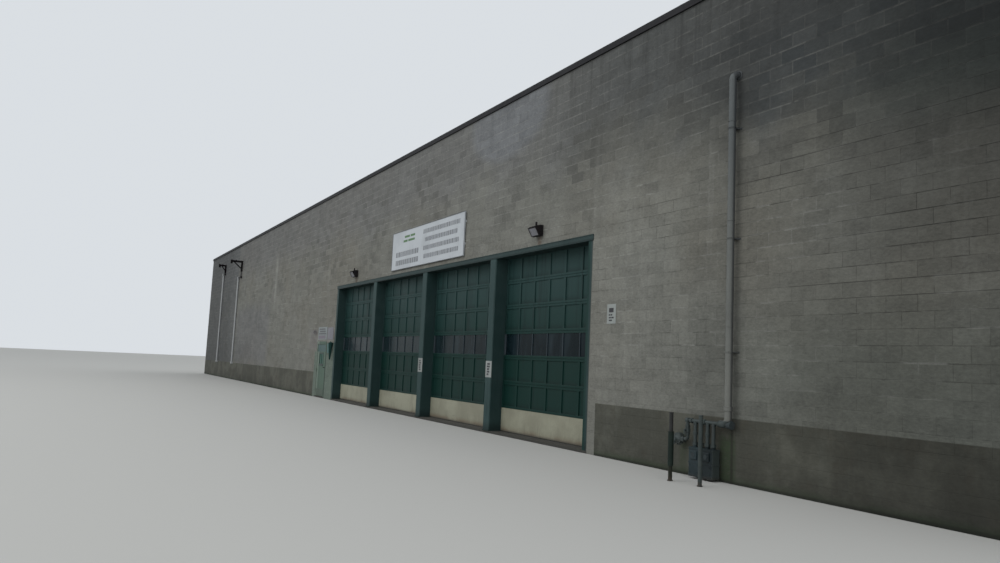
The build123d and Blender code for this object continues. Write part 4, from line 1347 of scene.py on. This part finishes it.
# Tall pale pipe with its collars and straps
pipeLook = {
    "pale": (0.149, 0.152, 0.138),
    "paleWorn": (0.114, 0.115, 0.104),
    "paleDirt": (0.085, 0.082, 0.074),
    "paleHigh": (0.078, 0.088, 0.092),
    "wallSideShade": (0.030, 0.032, 0.036),
    "footTop": 0.456,
    "radius": 0.0275,
    "collarRadius": 0.0325,
    "offWall": 0.060,
    "collars": (0.535, 0.559),
    "joints": (1.15, 1.95, 2.72),
    "straps": 3,
    "strapRadius": 0.0290,
    "strapTube": 0.0028,
    "strapHalf": 0.004,
    "earHalf": 0.012,
    "earHeight": 0.016,
    "earAside": 0.036,
    "boltAside": 0.040,
    "boltRadius": 0.0045,
    "teeHeight": 0.428,
    "tee": ((0.041, 0.051, 0.053), (0.055, 0.066, 0.068), (0.046, 0.034, 0.026)),
    "earOut": 0.004,
    "earEdge": 0.0008,
    "boltOut": 0.004,
    # radius and tube; the ring where the pipe leaves the wall starts with its distance out
    "wallRing": (0.004, 0.034, 0.006),
    "collarHoop": (0.0315, 0.0030),
    "jointHoop": (0.0285, 0.0022),
}
gasLook = {
    "paint": (0.036, 0.047, 0.046),
    "worn": (0.056, 0.068, 0.066),
    "rust": (0.046, 0.034, 0.026),
    "bore": 0.014,
    "stub": 0.036,
    # unions on the header: right of the drop, and radius
    "unions": ((0.338, 0.024), (0.181, 0.021), (0.044, 0.020)),
    "unionHalf": 0.011,
    "dropUnions": (0.049, 0.104),
    "dropUnionHalf": 0.009,
    "dropUnionRadius": 0.020,
    "valveBelow": 0.076,
    "valveHalf": 0.014,
    "valveRadius": 0.022,
    "stem": (0.018, 0.016, 0.008),       # its start, length and radius
    "lever": (0.006, 0.034, 0.008),      # half its width, reach below and above the stem
    "leverOut": 0.033,
    "leverThickness": 0.005,
    "neckOffset": 0.030,
    # start, end and radius: nut and cap above a meter, nut below the header
    "meterNut": (-0.012, 0.010, 0.022),
    "meterCap": (0.066, 0.090, 0.020),
    "headerNut": (-0.010, -0.026, 0.018),
    "headerCap": (0.016, -0.014, 0.019),
    "teePlug": (0.036, 0.027),           # length and radius
    "teeCap": (0.032, 0.042, 0.031),
    "flangeOut": 0.0005,
    "flangeTube": 0.0045,
    "flangeBolts": 10,
    "flangeHalf": 0.008,
    "boltRadius": 0.0040,
    "capRadius": 0.030,
    # length and end radius of the caps, length and radius of the knob
    "frontCap": (0.016, 0.016),
    "rearCap": (0.010, 0.022),
    "knob": (0.012, 0.011),
    "ventAside": 0.024,
    "ventOut": 0.006,
    "ventBelow": 0.008,
    "ventRadius": 0.005,
    "boss": (0.004, -0.016, 0.022),
}
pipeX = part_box("tall_pipe")[1].x - pipeLook["collarRadius"]
pipeY = frontY - pipeLook["offWall"]


def makePalePipeFinish(look):
    f = Finish("palePipe", 0.55, 0.3)
    blotches = f.noise(3.0, 4.0)
    colour = f.mix(blotches.step(0.42, 0.68) * 0.8, look["pale"], look["paleWorn"])
    colour = f.mix(f.streaks(28.0, 1.6).step(0.54, 0.74) * 0.36, colour, look["paleDirt"])
    colour = f.mix(f.z.step(1.0, 3.0) * 0.68 + f.z.step(0.7, 1.1) * 0.20, colour, look["paleHigh"])
    # painted shade on the half next to the wall, and dark paint at the foot
    colour = f.mix(f.y.step(pipeY - 0.014, pipeY - 0.004) * 0.6, colour, look["wallSideShade"])
    foot = f.z.step(look["footTop"] + 0.006, look["footTop"] - 0.006)
    colour = f.mix(foot, colour, f.mix(blotches.step(0.4, 0.6), gasLook["paint"], gasLook["worn"]))
    return f.coated(colour, f.noise(50.0, 4.0, 0.7), 0.24, 0.45 + blotches * 0.3, 0.0006)


def makeTallPipe(look):
    palePipe = makePalePipeFinish(look)
    paint(palePipe, "tall_pipe")
    x, top = pipeX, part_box("tall_pipe")[1].z - look["radius"]
    work = bmesh.new()
    out, *ring = look["wallRing"]
    addRing(work, (x, frontY - out, top), (0, 1, 0), *ring)
    for key, hoop in (("collars", "collarHoop"), ("joints", "jointHoop")):
        for z in look[key]:
            addHoop(work, x, pipeY, z, *look[hoop])
    lowest, half, ear, out = look["collars"][0], look["earHalf"], look["earHeight"] / 2, look["earOut"]
    spacing = (top - lowest) / look["straps"]
    for i in range(look["straps"]):
        z = lowest + (i + 0.5) * spacing
        for ringZ in (z - look["strapHalf"], z + look["strapHalf"]):
            addHoop(work, x, pipeY, ringZ, look["strapRadius"], look["strapTube"])
        for side in (-1, 1):
            earX = x + side * look["earAside"]
            addPlate(work, earX - half, earX + half, z - ear, z + ear, frontY, out, look["earEdge"])
            boltX = x + side * look["boltAside"]
            addHead(work, boltX, frontY - out, z, look["boltOut"], look["boltRadius"])
    addPiece(work, "pipe_bands", palePipe, spun=True)


# Knee brackets near the left end, with a cable down to each white conduit
bracketLook = {
    "white": ((0.350, 0.360, 0.365), (0.270, 0.280, 0.280), (0.21, 0.21, 0.21)),
    "black": ((0.0060, 0.0055, 0.0065), (0.012, 0.011, 0.012), (0.040, 0.022, 0.015)),
    "half": 0.023,
    # reach and drop of the two arms
    "first": (0.340, 0.305),
    "second": (0.230, 0.260),
    "conduitRadius": 0.031,
    "conduitBelow": 0.465,
    "headHalf": (0.040, 0.030),
    "headOut": 0.050,
    "cableOut": 0.028,
    "cableRadius": 0.012,
    "wireRadius": 0.007,
    "plateHalf": (0.044, 0.018),
    "plateOut": 0.008,
    "boltAside": 0.034,
    "knobShares": (0.55, 0.90),
    "bootHalf": 0.030,
    "bootLength": 0.050,
    "bootHeight": 0.095,
    "cheekAside": 0.026,
    "conduitInset": 0.030,
    "jointBelow": 0.04,
    "headEdge": 0.003,
    # wires: aside of the middle and above the joint, then the arm's foot
    "wireStart": (0.020, 0.028),
    "wireEnd": (0.016, 0.004),
    "plateBelow": 0.085,
    "plateAbove": 0.030,
    "bolt": (0.006, 0.006),              # length and radius
    "knobHeight": 0.016,
    "knobFoot": 0.016,
    "knobTop": 0.012,
    "bootOver": 0.004,
    "bootEdge": 0.004,
    "cheekHalf": 0.003,
    "cheekBelow": (0.050, 0.002),        # its foot and its top, below the arm's top
}


def makeBrackets(look):
    paint(paintFinish("conduitWhite", look["white"], 0.55, 60.0), "conduits")
    black = paintFinish("bracketBlack", look["black"], 0.8, shine=0.05)
    paint(black, "knee_brackets")
    low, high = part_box("conduits")
    barLow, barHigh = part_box("knee_brackets")
    half, radius = look["half"], look["conduitRadius"]
    firstTop = barLow.z + look["first"][1]
    conduitTop = firstTop - look["conduitBelow"]
    brackets = (
        # middle, top, reach, drop, middle and top of its conduit
        (barHigh.x - half, firstTop, *look["first"], high.x - radius, conduitTop),
        (barLow.x + half, barHigh.z, *look["second"], low.x + radius, high.z - look["conduitInset"]),
    )
    # a cable from each bracket to the head of its conduit
    work = bmesh.new()
    (wide, tall), out, y = look["headHalf"], look["headOut"], frontY - look["cableOut"]
    (startAside, startUp), (endAside, endUp) = look["wireStart"], look["wireEnd"]
    for x, top, reach, drop, conduitX, conduitTop in brackets:
        joint = min(conduitTop, top - drop - look["jointBelow"])
        addPlate(work, x - wide, x + wide, joint - tall, joint + tall, frontY, out, look["headEdge"])
        addRod(work, (conduitX, y, conduitTop), (x, y, joint), look["cableRadius"], 10)
        for side in (-1, 0, 1):
            start = (x + side * startAside, y, joint + startUp)
            end = (x + side * endAside, y, top - drop + endUp)
            addRod(work, start, end, look["wireRadius"], 8)
    addPiece(work, "conduit_heads", darkMetal)
    # plates, bolts and knobs on the knee brackets
    work = bmesh.new()
    (wide, tall), out = look["plateHalf"], look["plateOut"]
    for x, top, reach, drop, conduitX, conduitTop in brackets:
        for z in (top - look["plateBelow"], top - drop + look["plateAbove"]):
            addPlate(work, x - wide, x + wide, z - tall, z + tall, frontY, out, 0.001)
            for side in (-1, 1):
                addHead(work, x + side * look["boltAside"], frontY - out, z, *look["bolt"])
        knobTop = top + look["knobHeight"]
        for share in look["knobShares"]:
            y = frontY - reach * share
            addUpright(work, x, y, top, knobTop, look["knobFoot"], 14, look["knobTop"])
        # a boot over the outer end of the arm, and a cheek on each side of it
        end, boot = frontY - reach, look["bootHalf"]
        bootEnd = end + look["bootLength"]
        corner = (x + boot, bootEnd, top + look["bootOver"])
        addBox(work, (x - boot, end, top - look["bootHeight"]), corner, look["bootEdge"])
        half, (footBelow, topBelow) = look["cheekHalf"], look["cheekBelow"]
        for side in (-1, 1):
            cheek = x + side * look["cheekAside"]
            corner = (cheek + half, frontY - out, top - topBelow)
            addBox(work, (cheek - half, bootEnd, top - footBelow), corner, 0.001)
    addPiece(work, "bracket_fittings", black)


# Unions, valve and caps of the gas pipework, and the regulator's fittings
def makeGasFittings(look):
    gas = paintFinish("gasPaint", (look["paint"], look["worn"], look["rust"]), 0.45, 70.0, 0.7)
    paint(gas, "gas_pipework", "regulator")
    low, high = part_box("gas_pipework")
    y, half = (low.y + high.y) / 2, look["unionHalf"]
    dropX, headerZ, dropZ = low.x + look["stub"], high.z - look["bore"], low.z + look["bore"]
    work = bmesh.new()
    for right, radius in look["unions"]:
        addLevel(work, dropX + right - half, dropX + right + half, y, headerZ, radius, 6)
    half, radius = look["dropUnionHalf"], look["dropUnionRadius"]
    for below in look["dropUnions"]:
        addUpright(work, dropX, y, headerZ - below + half, headerZ - below - half, radius, 6)
    # shut-off valve on the drop, with its lever
    valveZ, half = headerZ - look["valveBelow"], look["valveHalf"]
    addUpright(work, dropX, y, valveZ - half, valveZ + half, look["valveRadius"])
    start, length, radius = look["stem"]
    addHead(work, dropX, y - start, valveZ, length, radius, 8)
    half, below, above = look["lever"]
    addPlate(
        work, dropX - half, dropX + half, valveZ - below, valveZ + above,
        y - look["leverOut"], look["leverThickness"], 0.001,
    )
    for name in ("gas_meter_1", "gas_meter_2"):
        meterLow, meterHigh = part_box(name)
        middle, offset = (meterLow.x + meterHigh.x) / 2, look["neckOffset"]
        for x in (middle - offset, middle + offset):
            for z, nut in ((meterHigh.z, look["meterNut"]), (headerZ, look["headerNut"])):
                addUpright(work, x, y, z + nut[0], z + nut[1], nut[2], 6)
        start, end, radius = look["meterCap"]
        addUpright(work, middle - offset, y, meterHigh.z + start, meterHigh.z + end, radius)
    start, end, radius = look["headerCap"]
    addLevel(work, dropX + start, dropX + end, y, headerZ, radius)
    addPiece(work, "gas_fittings", gas)
    # a plugged tee at the foot of the tall pipe
    work = bmesh.new()
    (length, radius), (start, end, capRadius) = look["teePlug"], look["teeCap"]
    addLevel(work, pipeX, pipeX + length, pipeY, pipeLook["teeHeight"], radius, 16)
    addLevel(work, pipeX + start, pipeX + end, pipeY, pipeLook["teeHeight"], capRadius, 16)
    tee = paintFinish("teePaint", pipeLook["tee"], 0.6, 70.0, 0.7, shine=0.1)
    addPiece(work, "pipe_tee", tee)
    # regulator: flange ring with bolts, a cap on both faces and a vent
    bossX = low.x
    low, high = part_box("regulator")
    radius = (high.z - low.z) / 2
    x, rim, half = low.x + radius, radius + look["flangeOut"], look["flangeHalf"]
    work = bmesh.new()
    addRing(work, (x, y, dropZ), (0, 1, 0), rim, look["flangeTube"], 32)
    for i in range(look["flangeBolts"]):
        angle = math.tau * i / look["flangeBolts"]
        boltX, boltZ = x + rim * math.cos(angle), dropZ + rim * math.sin(angle)
        addRod(work, (boltX, y - half, boltZ), (boltX, y + half, boltZ), look["boltRadius"], 6)
    length, endRadius = look["frontCap"]
    addHead(work, x, low.y, dropZ, length, look["capRadius"], 20, endRadius)
    addHead(work, x, low.y - length, dropZ, *look["knob"], 12)
    length, endRadius = look["rearCap"]
    addHead(work, x, high.y, dropZ, -length, look["capRadius"], 20, endRadius)
    ventX, ventY = x - look["ventAside"], low.y - look["ventOut"]
    addUpright(work, ventX, ventY, dropZ, low.z - look["ventBelow"], look["ventRadius"], 10)
    start, end, radius = look["boss"]
    addLevel(work, bossX + start, bossX + end, y, dropZ, radius, 6)
    addPiece(work, "regulator_details", gas, spun=True)


# Gas meters: rolled seams round the case, a dial and bolts
meterLook = {
    "first": ((0.0110, 0.0225, 0.0260), (0.023, 0.038, 0.043)),
    "second": ((0.0055, 0.0120, 0.0140), (0.013, 0.022, 0.024)),
    "side": (0.045, 0.056, 0.054),
    "rust": (0.046, 0.034, 0.026),
    "dial": ((0.024, 0.034, 0.037), (0.018, 0.026, 0.029), (0.02, 0.02, 0.02)),
    "neckHeight": 0.026,
    "seamHalf": 0.004,
    "seamRound": 0.014,
    "windowHalf": 0.036,
    "windowHeight": (0.144, 0.209),
    "windowOut": 0.012,
    "dialHeight": 0.178,
    "dialRadius": 0.020,
    "boltInset": 0.020,
    "boltHeights": (0.050, 0.100),
    # height and reach of each seam; the first is measured down from the case's top
    "topSeam": (0.010, 0.0035),
    "seams": ((0.120, 0.0045), (0.030, 0.0030)),
    "windowEdge": 0.004,
    "ringBeyond": 0.001,
    "ringTube": 0.0025,
    "bolt": (0.005, 0.004),              # length and radius
    "dialSunk": 0.0002,
    "dialThickness": 0.001,
}


def makeMeterFinish(name, look, base, worn, litSideFrom):
    f = Finish(name, 0.45, 0.3)
    blotches = f.noise(9.0, 4.0, 0.62)
    colour = f.mix(blotches.step(0.40, 0.68), base, worn)
    # the right side face painted lighter: painted light on that side
    colour = f.mix(f.x.step(litSideFrom - 0.004, litSideFrom) * 0.8, colour, look["side"])
    foot = f.z.step(0.05, 0.01) * blotches.step(0.35, 0.60)
    colour = f.mix(foot * 0.4, colour, look["rust"])
    return f.coated(colour, f.noise(90.0, 4.0, 0.7), 0.24, 0.38 + blotches * 0.3, 0.0005)


def makeMeter(look, number, finishName, tones, dialFace):
    low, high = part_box(f"gas_meter_{number}")
    finish = makeMeterFinish(finishName, look, *tones, high.x)
    paint(finish, f"gas_meter_{number}")
    top, middle, front = high.z - look["neckHeight"], (low.x + high.x) / 2, low.y
    work = bmesh.new()
    half, (below, topOut) = look["seamHalf"], look["topSeam"]
    for z, out in ((top - below, topOut), *look["seams"]):
        seam = addBox(work, (low.x - out, front - out, z - half), (high.x + out, high.y + out, z + half))
        edges = {e for v in seam for e in v.link_edges}
        upright = [e for e in edges if abs(e.verts[0].co.z - e.verts[1].co.z) > 0.001]
        bevelEdges(work, upright, look["seamRound"], 3)
    half, out, dialZ = look["windowHalf"], look["windowOut"], look["dialHeight"]
    addPlate(work, middle - half, middle + half, *look["windowHeight"], front, out, look["windowEdge"])
    radius = look["dialRadius"]
    addRing(work, (middle, front - out, dialZ), (0, 1, 0), radius + look["ringBeyond"], look["ringTube"])
    for x in (low.x + look["boltInset"], high.x - look["boltInset"]):
        for z in look["boltHeights"]:
            addHead(work, x, front, z, *look["bolt"])
    addPiece(work, f"meter_case_{number}", finish, spun=True)
    work = bmesh.new()
    addHead(work, middle, front - out + look["dialSunk"], dialZ, look["dialThickness"], radius, 24)
    addPiece(work, f"meter_dial_{number}", dialFace)


def makeMeters(look):
    dialFace = paintFinish("dialFace", look["dial"], 0.5, 90.0)
    makeMeter(look, 1, "meterBlueGrey", look["first"], dialFace)
    makeMeter(look, 2, "meterDark", look["second"], dialFace)


# Guard posts in front of the meters: the first has a sleeve
guardLook = {
    "postFoot": (0.016, 0.018, 0.012),
    "sleeve": (0.0065, 0.0135, 0.0100),
    "sleeveWorn": (0.0110, 0.0200, 0.0160),
    "plum": (0.0235, 0.0240, 0.0235),
    "plumWorn": (0.0330, 0.0330, 0.0330),
    "postRadius": 0.015,
    "sleeveRadius": 0.021,
    "sleeveEnds": (0.112, 0.358),
}


def makeGuardFinish(look, firstX):
    f = Finish("guardPaint", 0.5, 0.2)
    blotches = f.noise(8.0, 4.0, 0.62)
    low, high = look["sleeveEnds"]
    firstPost = f.x.step(firstX + 0.08, firstX + 0.06)
    colour = f.mix(blotches.step(0.40, 0.68), gasLook["paint"], gasLook["worn"])
    patchy = blotches.step(0.35, 0.65)
    green = f.mix(patchy, look["sleeve"], look["sleeveWorn"])
    plum = f.mix(patchy, look["plum"], look["plumWorn"])
    banded = f.mix(f.z.step(high + 0.004, high), plum, green)
    banded = f.mix(f.z.step(low, low - 0.006), banded, look["postFoot"])
    colour = f.mix(firstPost, colour, banded)
    colour = f.mix(f.z.step(0.05, 0.01) * blotches.step(0.3, 0.6), colour, gasLook["rust"])
    return f.coated(colour, f.noise(90.0, 4.0, 0.7), 0.24, 0.45 + blotches * 0.2, 0.0005)


def makeGuards(look):
    low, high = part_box("guard_posts")
    post, sleeve = look["postRadius"], look["sleeveRadius"]
    first = (low.x + sleeve, low.y + sleeve)
    finish = makeGuardFinish(look, first[0])
    paint(finish, "guard_posts")
    work = bmesh.new()
    for place in (first, (high.x - post, high.y - post)):
        addHoop(work, *place, high.z - 0.004, post, 0.0030)
        addHoop(work, *place, 0.004, post + 0.002, 0.0040)
    for z in look["sleeveEnds"]:
        addHoop(work, *first, z, sleeve - 0.0025, 0.0022)
    addPiece(work, "guard_post_rings", finish, spun=True)


makeTallPipe(pipeLook)
makeBrackets(bracketLook)
makeGasFittings(gasLook)
makeMeters(meterLook)
makeGuards(guardLook)
print("pipes and meters made")

# Coping with cover straps at its joints, the roof, the floor and what is inside
copingLook = {
    "metal": ((0.012, 0.012, 0.014), (0.024, 0.024, 0.026), (0.040, 0.038, 0.036)),
    "strapEvery": 1.524,
    "strapWidth": 0.050,
    "strapOut": 0.0016,
    "strapFoot": 0.020,
    "lip": 0.006,
}


def makeCoping(look):
    names = ("coping_front", "coping_rear", "coping_left", "coping_right")
    finish = paintFinish("copingMetal", look["metal"], 0.6, 30.0, 0.8, shine=0.15)
    paint(finish, *names)
    half = look["strapWidth"] / 2
    work = bmesh.new()
    for name in names:
        low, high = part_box(name)
        bottom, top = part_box("coping_front")[0].z + look["strapFoot"], high.z
        lengthways = name in names[:2]
        start, end = (low.x, high.x) if lengthways else (low.y, high.y)
        faces = ((low.y, -1), (high.y, 1)) if lengthways else ((low.x, -1), (high.x, 1))
        count = round((end - start) / look["strapEvery"])
        for i in range(1, count):
            place = start + (end - start) * i / count
            for face, sign in faces:
                near = face - sign * look["lip"]
                across = sorted((near, near + sign * look["strapOut"]))
                along = (place - half, place + half)
                first, last = zip(along, across) if lengthways else zip(across, along)
                addBox(work, (*first, bottom), (*last, top), 0.0005)
    addPiece(work, "coping_straps", finish)


roofLook = {
    "sheet": (0.085, 0.086, 0.088),
    "sheetWorn": (0.125, 0.122, 0.115),
    "pond": (0.055, 0.053, 0.048),
    "lap": (0.035, 0.035, 0.036),
    "strip": 0.5,
    "stripLength": 5.2,
}


def makeRoofFinish(look):
    f = Finish("roofing", 0.9)
    row = f.y / look["strip"]
    lap = row.fromMiddle().step(0.487, 0.497)
    sheet = f.chance(row.floor(), (f.x / look["stripLength"]).floor(), 2.0)
    blotches = f.noise(0.5, 4.0, 0.62)
    fine = f.noise(80.0, 4.0, 0.7)
    colour = f.mix(blotches.step(0.38, 0.68), look["sheet"], look["sheetWorn"])
    colour = f.mix(f.noise(0.22, 3.0, 0.5).step(0.55, 0.66) * 0.5, colour, look["pond"])
    colour = f.mix(lap * 0.7, colour, look["lap"])
    tone = 0.86 + sheet * 0.14 + fine * 0.16
    return f.done(f.shade(colour, tone), 0.8 + blotches * 0.15, f.bump(lap * 0.5 + fine * 0.2, 0.003))


floorLook = {
    "concrete": (0.205, 0.198, 0.170),
    "worn": (0.150, 0.146, 0.126),
    "oil": (0.060, 0.058, 0.052),
    "joint": (0.05, 0.05, 0.045),
    "dirt": (0.028, 0.027, 0.022),
    "bay": 3.048,
}


def makeFloorFinish(look):
    f = Finish("slabConcrete", 0.85)
    blotches = f.noise(0.7, 5.0, 0.62)
    oil = f.noise(1.4, 4.0, 0.6, (3.0, 6.0, 0.0)).step(0.60, 0.70)
    along, across = ((line / look["bay"]).fromMiddle().step(0.4985, 0.4995) for line in (f.x, f.y))
    colour = f.mix(blotches.step(0.36, 0.68), look["concrete"], look["worn"])
    colour = f.mix(oil * 0.6, colour, look["oil"])
    colour = f.mix(along.most(across) * 0.8, colour, look["joint"])
    # the strip in front of the doors is darker
    strip = f.y.step(innerY + 0.005, innerY - 0.010)
    colour = f.mix(strip * (0.80 + blotches * 0.15), colour, look["dirt"])
    return f.coated(colour, f.noise(60.0, 4.0, 0.7), 0.24, 0.7 + blotches * 0.2, 0.001)


def makeTrackFinish():
    f = Finish("galvanised", 0.4, metallic=0.85)
    spangle = f.node("ShaderNodeTexVoronoi", None, {"Vector": f.place, "Scale": 160.0})
    blotches = f.noise(6.0, 4.0)
    colour = f.mix(blotches.step(0.40, 0.70), (0.32, 0.33, 0.34), (0.24, 0.245, 0.25))
    return f.done(f.shade(colour, 0.85 + spangle * 0.3), 0.32 + blotches * 0.25)


def makeSealFinish():
    f = Finish("sealRubber", 0.8)
    dust = f.noise(20.0, 4.0, 0.65)
    colour = f.mix(dust.step(0.45, 0.75), (0.014, 0.014, 0.014), (0.050, 0.047, 0.040))
    ribs = (f.z * 500.0).fract().step(0.2, 0.6)
    return f.done(colour, 0.7 + dust * 0.2, f.bump(ribs, 0.0006))


# End plates with bolts where the beams meet the long walls
beamLook = {
    "primer": ((0.105, 0.060, 0.046), (0.130, 0.085, 0.068), (0.06, 0.04, 0.035)),
    "count": 10,
    "spacing": 2.4384,
    "plateHalf": 0.095,
    "plateOut": 0.008,
    "boltAside": 0.072,
    "boltInset": 0.06,
    "boltRadius": 0.010,
}


def makeBeamPlates(look):
    low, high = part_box("roof_beams")
    half, out = look["plateHalf"], look["plateOut"]
    finish = paintFinish("beamPrimer", look["primer"], 0.6, 30.0)
    paint(finish, "roof_beams")
    work = bmesh.new()
    for i in range(look["count"]):
        x = (i - (look["count"] - 1) / 2) * look["spacing"]
        for face, sign in ((innerY, 1), (rearInnerY, -1)):
            near, far = sorted((face, face + sign * out))
            addBox(work, (x - half, near, low.z - 0.010), (x + half, far, high.z - 0.002), 0.001)
            for boltX in (x - look["boltAside"], x + look["boltAside"]):
                for z in (low.z + look["boltInset"], high.z - look["boltInset"]):
                    addHead(work, boltX, face + sign * out, z, -sign * out, look["boltRadius"])
    addPiece(work, "beam_end_plates", finish)


makeCoping(copingLook)
paint(makeRoofFinish(roofLook), "roof_deck")
paint(makeFloorFinish(floorLook), "floor")
paint(makeTrackFinish(), "door_tracks")
paint(makeSealFinish(), "bottom_seals")
makeBeamPlates(beamLook)
print("coping, roof and floor made")
